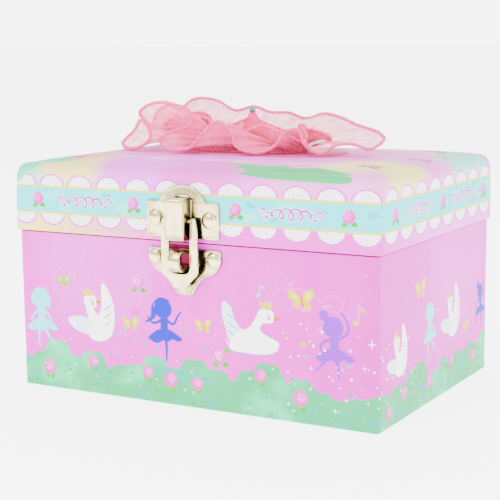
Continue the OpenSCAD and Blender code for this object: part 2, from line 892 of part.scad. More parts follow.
module stop_pad() {
  color("burlywood") box([-lid_inner_x + lining, -66.5], about(wire[1], -4, 4), [pad_z, ceiling - lining]);
}

// ---- net ruffle on the lid ----

module ruffle_base() {
  color("hotpink") translate([0, 4, lid_top]) linear_extrude(0.5) rounded_rect(70, 34, 16);
}

module lobe(points) {
  hull() for (p = points) translate(p) sphere(5, $fn = 20);
}

module tulle_ruffle() {
  color("pink") difference() {
    union() {
      lobe([[-54, -4, 92], [-36, -12, 92], [-40, 26, 93], [-34, 4, 104], [-12, -4, 97], [-10, 24, 97]]);
      lobe([[-14, -10, 92], [-6, 20, 97], [30, 0, 97], [22, 22, 100], [45, 14, 93], [36, 30, 93],
        [20, -10, 92]]);
    }
    box([-lx, lx], [-ly, ly], [lid_edge - 9, lid_top + 0.7]);
  }
}

module ruffle_bead() {
  color("darkcyan") translate([-3, 2, 104.1]) sphere(1.2);
}

front_board();
back_board();
left_board();
right_board();
floor_board();
case_wrap();
case_lining();
stage_board();
movement_partition();
compartment_divider();
ring_rolls();
stage_bushing();
latch_lower_plate();
latch_staple();
latch_lower_rivets();
hinge_base_leaves();
hinge_pins();
hinge_base_tacks();
bedplate();
front_cheek();
rear_cheek();
comb();
comb_screws();
governor_bracket();
spindle_bracket();
mounting_screws();
lid_front_board();
lid_back_board();
lid_left_board();
lid_right_board();
lid_top_board();
lid_padding();
lid_wrap();
lid_lining();
lid_mirror();
mirror_frame();
stop_pad();
ruffle_base();
tulle_ruffle();
ruffle_bead();
latch_upper_plate();
latch_upper_rivets();
hinge_lid_leaves();
hinge_lid_tacks();
hasp();
winding_arbor();
winding_key();
ratchet_wheel();
spring_barrel();
mainspring();
music_cylinder();
crown_wheel();
governor_wheel();
governor_fly();
dancer_spindle();
dancer_spring();
dancer_figure();
dancer_skirt();
stop_wire();
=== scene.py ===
"""Looks of a musical ballerina jewellery box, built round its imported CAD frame. Metres, front is -Y."""

import math
import random

import bmesh
import bpy
import numpy as np
from mathutils import Matrix, Vector, noise
from mathutils.geometry import delaunay_2d_cdt


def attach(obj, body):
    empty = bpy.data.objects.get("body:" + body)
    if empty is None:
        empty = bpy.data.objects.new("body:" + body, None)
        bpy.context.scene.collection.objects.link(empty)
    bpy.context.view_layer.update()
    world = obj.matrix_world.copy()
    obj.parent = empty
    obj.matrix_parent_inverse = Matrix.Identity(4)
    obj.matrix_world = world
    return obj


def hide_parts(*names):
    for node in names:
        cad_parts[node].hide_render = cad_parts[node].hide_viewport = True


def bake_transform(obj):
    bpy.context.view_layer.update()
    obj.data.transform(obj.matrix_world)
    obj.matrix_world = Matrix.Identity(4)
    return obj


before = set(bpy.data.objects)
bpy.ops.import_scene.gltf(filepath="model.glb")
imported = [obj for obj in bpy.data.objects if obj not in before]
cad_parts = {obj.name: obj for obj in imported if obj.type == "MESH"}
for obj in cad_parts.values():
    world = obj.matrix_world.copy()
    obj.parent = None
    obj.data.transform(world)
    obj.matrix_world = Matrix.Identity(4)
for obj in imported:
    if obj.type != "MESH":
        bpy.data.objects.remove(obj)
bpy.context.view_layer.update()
MM = 0.001
rng = random.Random(7)

# ---- sizes of the box in millimetres ----

BASE_X, BASE_Y, BASE_H = 75.0, 53.0, 60.0
LID_X, LID_Y, LID_Z = 76.0, 54.0, 60.6
LID_EDGE, LID_TOP = 86.0, 88.0
REACH = 4.0  # radius of the lid's upper edge, and how far a corner's part of the wrap reaches
CORNER = 1.5  # radius of the papered corners
PLATE, SOFT = 0.8, 0.22  # thickness of the latch plates and the rounding of their edges
FOLD = math.radians(60)  # how far the dancer lies back under the closed lid
PIVOT = Vector((-26, 4, 50))  # middle of the dancer's spring
SPINDLE_TOP = 45  # where her spring starts


# ---- materials ----


def linear(code):
    """Scene colour of a six-digit colour code."""
    parts = [int(code[i : i + 2], 16) / 255 for i in (0, 2, 4)]
    return [c / 12.92 if c <= 0.04045 else ((c + 0.055) / 1.055) ** 2.4 for c in parts]


def ink_colour(code):
    """Printing ink: the same hue with more pigment, because bright studio light washes colour out."""
    parts = linear(code)
    low, top = min(parts), max(parts)
    deep = top * (sum(parts) / 3 / top) ** 1.2
    return [deep * (c / top) ** (1.2 + 3.3 * (top - c) / max(top - low, 1e-6)) for c in parts]


class Look:
    """A procedural material, built node by node."""

    def __init__(self, name):
        self.mat = bpy.data.materials.new(name)
        self.mat.use_nodes = True
        self.tree = self.mat.node_tree
        self.bsdf = self.tree.nodes["Principled BSDF"]

    def feed(self, socket, value):
        """Links a socket to another one's output, or sets it to a plain value."""
        if isinstance(value, bpy.types.NodeSocket):
            self.tree.links.new(value, socket)
        else:
            socket.default_value = value

    def node(self, kind, settings=None, **inputs):
        made = self.tree.nodes.new("ShaderNode" + kind)
        for key, value in (settings or {}).items():
            setattr(made, key, value)
        for key, value in inputs.items():
            self.feed(made.inputs[key], value)
        return made

    def noise(self, scale, detail=4.0, rough=0.55):
        place = self.node("TexCoord").outputs["Object"]
        return self.node("TexNoise", Vector=place, Scale=scale, Detail=detail, Roughness=rough).outputs["Fac"]

    def ramp(self, fac, low, high, start=0.3, end=0.7):
        made = self.node("ValToRGB", Fac=fac)
        for stop, place, colour in zip(made.color_ramp.elements, (start, end), (low, high)):
            stop.position = place
            stop.color = (*colour, 1)
        return made.outputs["Color"]

    def span(self, fac, low, high):
        ends = {"From Min": 0.3, "From Max": 0.7, "To Min": low, "To Max": high}
        return self.node("MapRange", Value=fac, **ends).outputs["Result"]

    def product(self, a, b):
        made = self.node("Math", {"operation": "MULTIPLY"})
        self.feed(made.inputs[0], a)
        self.feed(made.inputs[1], b)
        return made.outputs[0]

    def bump(self, height, strength, depth=0.0002):
        made = self.node("Bump", Height=height, Strength=strength, Distance=depth)
        self.tree.links.new(made.outputs["Normal"], self.bsdf.inputs["Normal"])

    def put(self, **inputs):
        for key, value in inputs.items():
            self.feed(self.bsdf.inputs[key.replace("_", " ")], value)


def surface(name, dark, light, rough=0.5, scale=300.0, bump=0.2, depth=0.0002, **more):
    """Two close tones in a noise, an uneven roughness and a fine relief."""
    look = Look(name)
    tone = look.noise(scale)
    look.put(Base_Color=look.ramp(tone, linear(dark), linear(light)))
    look.put(Roughness=look.span(look.noise(scale * 2.3), rough * 0.85, min(1.0, rough * 1.15)), **more)
    if bump:
        look.bump(look.noise(scale * 4, 6), bump, depth)
    return look.mat


def printed_paper():
    """Ink from the mesh's own colours, washed unevenly like watercolour, on smooth coated paper."""
    look = Look("printed_paper")
    ink = look.node("Attribute", {"attribute_name": "ink"})
    wash = ink.outputs["Alpha"]
    pale = look.ramp(look.noise(55, 6, 0.65), (0, 0, 0), (1, 1, 1), 0.44, 0.74)
    deep = look.ramp(look.noise(85, 5, 0.6), (0, 0, 0), (1, 1, 1), 0.5, 0.78)
    speck = look.ramp(look.noise(420, 3, 0.7), (0, 0, 0), (1, 1, 1), 0.45, 0.7)
    colour = ink.outputs["Color"]
    for fac, kind, tint, share in (
        (pale, "MIX", (1.0, 1.0, 0.97), 0.04),
        (deep, "MULTIPLY", (0.86, 0.8, 0.96), 0.6),
        (speck, "MIX", (1.0, 1.0, 1.0), 0.01),
    ):
        amount = look.product(look.product(fac, share), wash)
        mix = look.node("MixRGB", {"blend_type": kind}, Fac=amount, Color1=colour, Color2=(*tint, 1))
        colour = mix.outputs["Color"]
    look.put(Base_Color=colour, Roughness=look.span(look.noise(500), 0.38, 0.5))
    look.put(Specular_IOR_Level=0.12, Coat_Weight=0.02, Coat_Roughness=0.25)
    look.bump(look.noise(900, 4), 0.12, 0.0001)
    return look.mat


def plated(name, recess_shade, dark, light):
    """Bright plating with painted shade darkening its recesses."""
    look = Look(name)
    # Painted shade: the colour darkens towards dark brown wherever ambient occlusion finds other surfaces
    # within 5 mm
    near = look.node("AmbientOcclusion", Distance=0.005)
    painted_shade = look.ramp(near.outputs["AO"], linear(recess_shade), (1, 1, 1), 0.42, 0.86)
    tone = look.ramp(look.noise(260, 5), linear(dark), linear(light), 0.35, 0.6)
    mix = look.node("MixRGB", {"blend_type": "MULTIPLY"}, Fac=1.0, Color1=tone, Color2=painted_shade)
    look.put(Base_Color=mix.outputs["Color"], Metallic=1.0, Roughness=look.span(look.noise(900), 0.12, 0.24))
    look.bump(look.noise(1500, 4), 0.05, 0.0001)
    return look.mat


PAPER = printed_paper()
GREYBOARD = surface("greyboard", "6f675a", "8f8576", 0.95, 500, 0.4)
LINING = surface("lining_paper", "ee8ccc", "f7a8dc", 0.7, 220, 0.2)
TRIM = surface("trim_paper", "c8307f", "dc5a9c", 0.5, 400, 0.2)
VELVET = surface("velvet", "a81868", "c83c88", 0.95, 900, 0.6, Sheen_Weight=0.9)
STAGE = surface("stage_velvet", "a01c78", "c43c98", 0.95, 900, 0.6, Sheen_Weight=0.8)
WADDING = surface("wadding", "e8e4dc", "fbf9f4", 1.0, 600, 0.8)
# Nickel, with painted shade in its recesses round the channel, rivets and hasp
NICKEL = plated("nickel", "3a2618", "c4b478", "ece0ac")
BRASS = surface("brass", "b98f3c", "d9b45c", 0.28, 700, 0.08, Metallic=1.0)
BRASS_PLATE = surface("brass_plate", "c9a04a", "e6c672", 0.22, 700, 0.06, Metallic=1.0)
STEEL = surface("steel", "8e9196", "b9bcc0", 0.3, 700, 0.08, Metallic=1.0)
SPRING_STEEL = surface("spring_steel", "6d7480", "99a0ab", 0.25, 700, 0.06, Metallic=1.0)
ZINC = surface("cast_zinc", "a7a9a6", "c8cac6", 0.42, 500, 0.2, Metallic=1.0)
MIRROR = surface("mirror_glass", "dfe6e6", "f2f6f6", 0.04, 900, 0.0, Metallic=1.0)
WOOD = surface("wood_block", "9a6430", "b98048", 0.7, 260, 0.3)
BEAD = surface("glass_bead", "0c5a4a", "1c8a70", 0.12, 900, 0.02, Coat_Weight=0.6)
SKIN = surface("doll_skin", "e0936a", "eaa57e", 0.4, 400, 0.05)


# ---- smooth outlines in millimetres ----


def turns(count):
    """Angles evenly round a circle."""
    return np.linspace(0, 2 * math.pi, count, endpoint=False)


def curve(points, closed=True, steps=6):
    """Points of a smooth line through the given ones."""
    given = np.array(points, float)
    count = len(given)
    line = []
    for i in range(count if closed else count - 1):
        near = [i - 1, i, i + 1, i + 2]
        a, b, c, d = (given[k % count] if closed else given[min(max(k, 0), count - 1)] for k in near)
        for t in np.arange(steps) / steps:
            line.append(b + 0.5 * t * (c - a + t * (2 * a - 5 * b + 4 * c - d + t * (3 * (b - c) + d - a))))
    if not closed:
        line.append(given[-1])
    return np.array(line)


def stroke(points, *widths, steps=4):
    """Outline of a line that is as wide as given along its way."""
    line = curve(points, False, steps)
    step = np.gradient(line, axis=0)
    side = np.stack([-step[:, 1], step[:, 0]], 1) / np.maximum(np.hypot(*step.T), 1e-6)[:, None]
    wide = np.interp(np.linspace(0, 1, len(line)), np.linspace(0, 1, len(widths)), widths)[:, None] / 2
    return np.concatenate([line + side * wide, (line - side * wide)[::-1]])


def disc(x, y, rx, ry=None, turn=0.0, count=14, bumps=0, depth=0.06):
    """Round or oval outline, with a bumpy rim if asked."""
    angle = turns(count)
    rim = 1 + depth * np.cos(bumps * angle) if bumps else 1
    u, v = rx * rim * np.cos(angle), (ry or rx) * rim * np.sin(angle)
    c, s = math.cos(turn), math.sin(turn)
    return np.stack([x + u * c - v * s, y + u * s + v * c], 1)


class Art:
    """Painted shapes in paint order: an outline, a colour and how much the wash shows."""

    def __init__(self):
        self.shapes = []
        self.place = (0.0, 0.0, 1.0, 1.0)

    def at(self, x, y, size=1.0, flip=False):
        self.place = (x, y, -size if flip else size, size)
        return self

    def add(self, outline, code, wash=0.15):
        x, y, sx, sy = self.place
        placed = np.array(outline, float) * (sx, sy) + (x, y)
        px, py = placed.T
        if np.dot(px, np.roll(py, -1)) < np.dot(py, np.roll(px, -1)):
            placed = placed[::-1]
        ink = code if callable(code) else (*ink_colour(code), wash)
        self.shapes.append((placed, ink))

    def line(self, points, widths, code, wash=0.1, part=4):
        """A line that may cross itself, laid down as short strokes that touch."""
        widths = np.interp(np.linspace(0, 1, len(points)), np.linspace(0, 1, len(widths)), widths)
        for i in range(0, len(points) - 1, part - 1):
            piece = slice(i, i + part)
            if len(points[piece]) > 1:
                self.add(stroke(points[piece], *widths[piece], steps=2), code, wash)

    def blob(self, points, code, wash=0.15, steps=5):
        self.add(curve(points, steps=steps), code, wash)


def draw_swan(art, x, y, size=1.0, flip=False):
    """Swimming swan with one wing up and a small crown."""
    art.at(x, y, size, flip)
    art.blob([(-8.5, -0.2), (0, -0.8), (8.5, 0.2), (10.2, 2.2), (0, 0.9), (-8.6, 1.6)], "eeb8f6")
    art.blob([(-2, 7.5), (-5, 8.6), (-7.2, 12), (-8.6, 15.6), (-11.6, 17.2), (-12, 13), (-10.8, 8.4),
              (-9.4, 4.4), (-5, 3)], "f4fbff")
    for rise in (3.6, 6.4, 9.2):
        art.add(stroke([(-10.6, rise + 4), (-8, rise + 2.6), (-5.4, rise + 1.4)], 0.2, 0.5, 0.2), "d8c8f2")
    art.blob([(-8.6, 0.6), (-3, 0), (4, 0.1), (8.8, 1.4), (10.3, 4.4), (7.4, 6), (3.9, 7.6), (2.9, 9.4),
              (4.4, 11), (7.6, 11.4), (8.8, 13), (7.8, 15.4), (5.4, 16.4), (2.6, 15.2), (1.2, 12.4),
              (-1.4, 9), (-6, 6.8), (-8.9, 3.4)], "ffffff")
    art.add([(8.4, 14), (11, 12.9), (8.2, 12)], "ffc850")
    art.add([(3.4, 16), (2.8, 18.8), (4.4, 17.5), (5.4, 19.4), (6.3, 17.6), (7.9, 18.6), (7.2, 15.7)],
            "fff200")
    art.add(disc(6.4, 12.9, 0.8), "ffdcf0")
    art.add(stroke([(5.4, 14.4), (6.1, 13.9), (6.9, 14.4)], 0.28, 0.28), "8a5fd0")


def draw_flying_swan(art, x, y, size=1.0, flip=False):
    """Swan with both wings open and its head turned."""
    art.at(x, y, size, flip)
    art.blob([(-3.6, 0.6), (2, -0.8), (8.4, 3), (6, 3.4), (0, 1.4), (-3, 1.2)], "eeb8f6")
    art.blob([(-12.9, 7.4), (-9, 8.8), (-4.4, 8.6), (-1.4, 8.4), (0.6, 5), (-2.6, 2.4), (-6.4, 2.6),
              (-10.6, 4.2)], "f4fbff")
    art.blob([(3.7, 22.4), (6, 19.6), (7.9, 15.4), (8.5, 11), (8.1, 6), (6, 1.8), (1.6, 0), (-2.4, 0.8),
              (-3.6, 4), (-1, 7.6), (1.2, 10), (2.6, 13), (2.8, 17), (2.7, 20)], "ffffff")
    for rise in (6.0, 9.0, 12.0):
        art.add(stroke([(7.6, rise + 3), (5.6, rise + 1.2), (3.4, rise)], 0.2, 0.5, 0.2), "d8c8f2")
    art.add(stroke([(-2.6, 14.4), (-2.6, 11.4), (-0.6, 8.6), (1.8, 5.4)], 3.2, 3.4, 4, 4.6), "ffffff")
    art.add(disc(-2.3, 14.9, 3.1, 2.9), "ffffff")
    art.add([(0.3, 15.8), (3.2, 15), (0.4, 13.9)], "ffc850")
    art.add([(-5.2, 17), (-5.8, 19.7), (-4.2, 18.5), (-3.2, 20.3), (-2.4, 18.5), (-0.9, 19.4), (-1.3, 16.9)],
            "fff200")
    art.add(disc(-1.3, 14.2, 0.8), "ffdcf0")
    art.add(stroke([(-2.6, 15.8), (-1.9, 15.3), (-1.1, 15.8)], 0.28, 0.28), "8a5fd0")


def draw_dancer(art, x, y, code, pose, size=1.0, flip=False):
    """Small dancing girl as a flat silhouette, from her waist."""
    art.at(x, y, size, flip)
    art.blob([(-7.2, -3.6), (-5.2, -1.6), (-2.2, 0.2), (1.8, 0.4), (4.6, -0.8), (7.6, -2.8), (5.6, -3.8),
              (3.4, -3.2), (1, -4.4), (-1.6, -3.6), (-4.4, -4.6)], code)
    art.blob([(-1.5, 0.4), (-1.7, 2.4), (-1.9, 4), (0, 4.6), (1.9, 4), (1.5, 2), (1.3, 0.3)], code)
    art.add(disc(-0.6, 7.8, 3.9, 3.7, count=18), code)
    if pose == "curtsey":
        art.blob([(-4.6, 9.6), (-2, 12.3), (2, 12), (4, 9), (4.2, 6.2), (2.8, 4.6), (1.6, 6.4), (-3, 6),
                  (-4.8, 7)], code)
        art.add(stroke([(1.2, 3.6), (3.6, 1.6), (4.6, -1), (6, -1.4)], 1.1, 0.9, 0.7), code)
        art.add(stroke([(-1.3, 3.4), (-3.6, 2), (-5.4, -0.6)], 1.1, 0.9, 0.7), code)
        art.add(stroke([(-1.4, -3), (-1.8, -7), (-1.6, -11)], 1.3, 1, 0.5), code)
        art.add(stroke([(1.4, -3), (3.4, -6.6), (6.6, -9.4)], 1.3, 1, 0.5), code)
    elif pose == "open":
        art.blob([(-4.4, 9.4), (-3.6, 5), (-6.4, 2.6), (-8.6, 2.2), (-6, 4.6), (-5.4, 8.8), (-2, 11.9),
                  (2.4, 10.8)], code)
        art.add(stroke([(1.2, 3.4), (4, 2.6), (5.6, 5.4), (7.2, 7.4)], 1.1, 0.9, 0.6), code)
        art.add(stroke([(-1.3, 3.4), (-5, 2.2), (-7.4, 4.6)], 1.1, 0.9, 0.6), code)
        art.add(stroke([(0.4, -3), (0.8, -7), (0.6, -11.6)], 1.3, 1, 0.5), code)
        art.add(stroke([(0.2, -2.6), (-3.4, -4.8), (-6.6, -3.6)], 1.2, 0.9, 0.5), code)
    else:
        art.add(disc(-4, 11.6, 1.9), code)
        art.add(stroke([(1, 3.6), (4.6, 6), (4.9, 9.6), (2.2, 13.4)], 1.1, 0.9, 0.6), code)
        art.add(stroke([(-1.2, 3.4), (-4, 2.6), (-5.4, 0.2), (-4.2, -1)], 1.1, 0.9, 0.6), code)
        art.add(stroke([(0.6, -3), (1.4, -6.6), (1.8, -10.8)], 1.3, 1, 0.5), code)
        art.add(stroke([(-0.6, -2.8), (-3.8, -4.4), (-7, -8.2)], 1.2, 0.9, 0.5), code)


def draw_butterfly(art, x, y, size=1.0, code="fff200", flip=False):
    """Butterfly seen half from the side: two broad wings above, two small ones below."""
    art.at(x, y, size, flip)
    art.blob([(-0.1, -0.3), (-1.6, -1.9), (-2.8, -1.7), (-2.4, -0.4), (-1, 0.2)], code)
    art.blob([(0.1, -0.3), (1.2, -2.3), (2.6, -2.2), (2.6, -0.9), (1.2, 0)], code)
    art.blob([(0, -0.2), (-1.2, 1.8), (-3.2, 2.9), (-4.4, 2.1), (-3.6, 0.3), (-1.6, -0.4)], code)
    art.blob([(0.2, -0.2), (0.6, 2.2), (2.3, 3.6), (3.7, 3.1), (3.3, 1.1), (1.6, -0.2)], code)
    art.blob([(-1, 0.4), (-2, 1.7), (-3.3, 2.1), (-3, 1), (-1.8, 0.3)], "fffa9c", 0)
    art.blob([(0.9, 0.6), (1.3, 2.2), (2.6, 2.8), (2.8, 1.5), (1.8, 0.5)], "fffa9c", 0)
    art.add(stroke([(0.5, -1.6), (0, 0), (-0.4, 1.5)], 0.3, 0.6, 0.3), "ffc850", 0)


def draw_rose(art, x, y, size=1.0, petals=("ffaeec", "ffd4f6", "f068cc"), leaves=True):
    """Round rose with a curl of turned petals over two leaves."""
    art.at(x, y, size)
    if leaves:
        art.blob([(0.6, -1.8), (2.2, -1.6), (3.3, -2.8), (2, -3.4), (0.8, -2.9)], "8ee84a", 0.3)
        art.blob([(-0.8, -1.9), (-2.2, -1.9), (-2.9, -3.5), (-1.2, -3.5), (-0.3, -2.6)], "a6f060", 0.3)
    art.add(disc(0, 0, 2.4, 2.5, count=24, bumps=6, depth=0.06), petals[0], 0.3)
    art.add(disc(-0.5, 0.5, 1.75, 1.7, count=18, bumps=5, depth=0.07), petals[1], 0.3)
    art.add(stroke([(-2.1, 0.2), (-1.9, -1.2), (-0.4, -2.1), (1.4, -1.7)], 0.15, 0.35, 0.15), petals[2], 0)
    art.add(stroke([(1.9, 1.4), (2.1, 0.2), (1.2, -0.9), (-0.2, -1.2)], 0.15, 0.35, 0.15), petals[2], 0)
    art.add(stroke([(-1.2, 1.5), (0, 2), (1, 1.3), (0.9, 0.2), (0, -0.3), (-0.7, 0.2), (-0.4, 0.9)], 0.15,
                   0.3, 0.15), petals[2], 0)


def draw_bud(art, x, y, size=1.0, petal="f6b4e0"):
    """Fluffy round bud in the hedge, with lime leaves below it."""
    art.at(x, y, size)
    art.add(disc(-1.0, -2.9, 1.5, 0.7, -0.9, 10), "b4ee4c", 0.2)
    art.add(disc(1.2, -3.2, 1.3, 0.6, 1.1, 10), "a0e84c", 0.2)
    art.add(disc(0, 0, 2.5, 2.6, count=32, bumps=11, depth=0.05), petal, 0.5)
    art.add(disc(0.4, 0.3, 1.5, 1.6, count=18, bumps=6, depth=0.08), "ffd0f0", 0.5)


def draw_note(art, x, y, size=1.0, code="fff200"):
    art.at(x, y, size)
    art.add(disc(-1.3, -2, 1.0, 0.75, 0.4, 10), code)
    art.add(stroke([(-0.6, -1.8), (-0.4, 0.4), (-0.1, 2.4)], 0.32, 0.32), code)
    art.add(stroke([(-0.1, 2.3), (1.2, 1.9), (2, 0.8)], 0.8, 0.5, 0.2), code)


def draw_sparkle(art, x, y, r, code="ffffff"):
    art.at(x, y, r)
    tips = [(1 if i % 2 == 0 else 0.16) * np.array([math.cos(i * math.pi / 4), math.sin(i * math.pi / 4)])
            for i in range(8)]
    art.add(tips, code, 0.0)


def draw_dots(art, start, end, low, high, count, code, small=0.2, big=0.45):
    for _ in range(count):
        art.at(0, 0).add(disc(rng.uniform(start, end), rng.uniform(low, high), rng.uniform(small, big),
                              count=7), code, 0)


def draw_scroll(art, x, y, size, code, flip=False):
    """Faint curling stem with leaves and a flower."""
    art.at(x, y, size, flip)
    art.line(curve([(-17, -3), (-10, 3), (-2, 4), (5, 1), (8, -5), (5, -9), (1, -8), (1, -5)], False, 4),
             (0.2, 0.5, 0.5, 0.2), code)
    art.add(stroke([(-10, 3), (-12, 7), (-9, 9), (-7, 7)], 0.2, 0.4, 0.2), code)
    art.add(stroke([(5, 1), (11, 3), (14, 0), (12, -3), (10, -1)], 0.2, 0.5, 0.2), code)
    for lx, ly, lean in ((-6, 5.4, 0.5), (0, 2, -0.9), (8.4, -1, 0.2), (-14, -2, 0.6)):
        art.add(disc(lx, ly, 1.7, 0.6, lean, 10), code)
    for i in range(5):
        a = i * 2 * math.pi / 5
        art.add(disc(-1.4 + 1.5 * math.cos(a), -1.6 + 1.5 * math.sin(a), 0.95, 0.8, a, 9), code)


def draw_lace(art, x, z, up):
    """One scallop of lace on the edge of the band, with its soft shadow and rows of holes."""
    s = 1 if up else -1
    angle = np.linspace(0, math.pi, 45)
    rim = 1 + 0.04 * np.cos(26 * angle)

    def half(w, h):
        return np.stack([x + w * rim * np.cos(angle), z + s * h * rim * np.sin(angle)], 1)

    art.at(0, 0)
    art.add(half(5.9, 4.7), "f4b4f0", 0.5)
    art.add(half(5.0, 4.0), "ffffff", 0.0)
    for ring, count, r in ((0.82, 11, 0.24), (0.58, 8, 0.26), (0.32, 5, 0.24)):
        for k in range(count):
            a = math.pi * (k + 0.5) / count
            art.add(disc(x + 5.0 * ring * math.cos(a), z + s * 4.0 * ring * math.sin(a), r, count=6),
                    "e49cf0", 0)


def draw_flourish(art, x, z, code="d070e0"):
    """Pen ornament: a row of loops between two leafy curls, drawn twice for its pale edge."""
    art.at(x, z)
    t = np.linspace(0, 1, 100)
    fade = np.sin(math.pi * t) ** 0.5
    loops = np.stack([18 * (t - 0.5) + 1.7 * fade * np.sin(10 * math.pi * t),
                      1.9 * fade * np.cos(10 * math.pi * t)], 1)
    for ink, grow in (("fff6ff", 0.55), (code, 0.0)):
        art.line(loops, [0.35 + grow, *[w + grow for w in (0.75, 0.45) * 5], 0.35 + grow], ink, 0, 3)
        for s in (-1, 1):
            curl = [(s * 8.6, 0), (s * 10.4, 1.5), (s * 12, 0.6), (s * 11.4, -0.8)]
            art.add(stroke(curl, 0.3 + grow, 0.7 + grow, 0.3 + grow), ink, 0)
            art.add(disc(s * 9.4, -1.4, 1.0 + grow / 2, 0.4 + grow / 2, s * 0.6, 10), ink, 0)


# ---- papered walls ----


class Wall:
    """Round-cornered outline that a printed wrap follows. Distance 0 along it is the middle of the front."""

    def __init__(self, half_x, half_y):
        self.hx, self.hy = half_x, half_y
        self.sides = [2 * (half_x - REACH), 2 * (half_y - REACH)] * 2
        self.turn = 7.0
        self.length = sum(self.sides) + 4 * self.turn

    def right(self, y):
        return self.hx - REACH + self.turn + y + self.hy - REACH

    def stations(self, step=3.0):
        """Distances all the way round: evenly along the sides, close together in the corners."""
        spots = []
        start = -self.sides[0] / 2
        for side in self.sides:
            count = max(1, round(side / step))
            spots += [start + side * i / count for i in range(count)]
            start += side
            spots += [start + self.turn * i / 10 for i in range(10)]
            start += self.turn
        half = self.length / 2
        spots = sorted([s - self.length if s >= half - 1e-6 else s for s in spots] + [-half, half])
        return [s for s, later in zip(spots, spots[1:] + [1e9]) if later - s > 1e-6]

    def strip(self, low, high):
        """Outline of a band all the way round."""
        spots = self.stations()
        return [(s, low) for s in spots] + [(s, high) for s in reversed(spots)]

    def grid(self, rows):
        return [(s, t) for s in self.stations() for t in rows]

    def back(self, x):
        return self.length / 2 - x if x >= 0 else -self.length / 2 - x

    def left(self, y):
        return -self.right(y)

    def point(self, s, r):
        """(x, y) and the outward direction at distance s, with corners of radius r."""
        s = (s + self.sides[0] / 2) % self.length
        corners = [(1, -1), (1, 1), (-1, 1), (-1, -1)]
        heading = 0
        for side, (cx, cy) in zip(self.sides, corners):
            along = np.array([math.cos(heading), math.sin(heading)])
            out = np.array([along[1], -along[0]])
            corner = np.array([cx * self.hx, cy * self.hy])
            if s < side:
                return corner - along * (side + REACH - s), out
            s -= side
            if s < self.turn:
                straight = REACH - r
                way = s / self.turn * (2 * straight + math.pi * r / 2)
                if way < straight:
                    return corner - along * (REACH - way), out
                way -= straight
                centre = corner - along * r - out * r
                if way < math.pi * r / 2:
                    turned = heading - math.pi / 2 + way / r
                    out = np.array([math.cos(turned), math.sin(turned)])
                    return centre + out * r, out
                heading += math.pi / 2
                along = np.array([math.cos(heading), math.sin(heading)])
                out = np.array([along[1], -along[0]])
                return centre + r * out + along * (way - math.pi * r / 2), out
            s -= self.turn
            heading += math.pi / 2
        return self.point(0.0, r)

    def inward(self, s, r, inset):
        """(x, y) at distance s, moved in from the wall's face."""
        (x, y), out = self.point(s, r)
        return x - out[0] * inset, y - out[1] * inset


def mixed(low, high, t):
    t = min(max(t, 0.0), 1.0)
    return [a + (b - a) * t for a, b in zip(low, high)]


def patch(p, x, y, z, r, seed=0.0):
    """How much a soft-edged round of colour shows at a point, from 0 to 1."""
    wobble = 3.5 * noise.noise(Vector((p[0] * 0.09 + seed, p[1] * 0.09, p[2] * 0.09)))
    far = math.dist(p, (x, y, z)) + wobble
    return min(max((r - far) / (0.45 * r) + 0.5, 0.0), 1.0)


def tessellate(border, extra, shapes):
    """Cuts the border's inside into triangles along all outlines. Returns points and owned triangles."""
    points, rings = [], []
    for outline in [border] + [s[0] for s in shapes]:
        rings.append(list(range(len(points), len(points) + len(outline))))
        points += [Vector(p) for p in outline]
    points += [Vector(p) for p in extra]
    found, _, faces, _, _, owners = delaunay_2d_cdt(points, [], rings, 1, 1e-4)
    kept = [(f, max(own)) for f, own in zip(faces, owners) if 0 in own]
    return found, kept


def mesh_object(name, verts, faces, mats, smooth=True):
    mesh = bpy.data.meshes.new(name)
    mesh.from_pydata([tuple(v) for v in verts], [], faces)
    for m in mats if isinstance(mats, (list, tuple)) else [mats]:
        mesh.materials.append(m)
    mesh.shade_smooth() if smooth else mesh.shade_flat()
    obj = bpy.data.objects.new(name, mesh)
    bpy.context.scene.collection.objects.link(obj)
    return obj


class Wrap:
    """Gathers painted triangles from several unrolled pieces into one paper mesh."""

    def __init__(self):
        self.verts, self.faces, self.inks = [], [], []
        self.known = {}

    def vertex(self, p):
        key = tuple(round(c, 3) for c in p)
        if key not in self.known:
            self.known[key] = len(self.verts)
            self.verts.append(p)
        return self.known[key]

    def add(self, border, extra, shapes, place, ground):
        points, kept = tessellate(border, extra, shapes)
        spots = [place(p[0], p[1]) for p in points]
        index = [self.vertex(p) for p in spots]
        for face, owner in kept:
            corners = [index[i] for i in face]
            if len(set(corners)) < 3:
                continue
            self.faces.append(corners)
            ink = shapes[owner - 1][1] if owner else ground
            self.inks.append([ink(spots[i]) if callable(ink) else ink for i in face])

    def build(self, name, nodes, body):
        obj = mesh_object(name, [Vector(v) * MM for v in self.verts], self.faces, PAPER)
        ink = obj.data.color_attributes.new("ink", "FLOAT_COLOR", "CORNER")
        ink.data.foreach_set("color", np.array([c for f in self.inks for c in f], np.float32).ravel())
        edge_angle = math.radians(50)
        obj.data.set_sharp_from_angle(angle=edge_angle)
        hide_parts(*nodes)
        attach(obj, body)
        return obj


# Deep magenta for the paper turned in over the rims: painted shade, so the seam between lid and base looks
# dark
SEAM_SHADE_MAGENTA = (*linear("b8357f"), 0.3)


def split_long(outline, longest=0.9):
    """Outline with points close enough together to turn a corner of the box."""
    parts = []
    for a, b in zip(outline, np.roll(outline, -1, axis=0)):
        count = max(1, math.ceil(math.dist(a, b) / longest))
        parts += [a + (b - a) * k / count for k in range(count)]
    return np.array(parts)


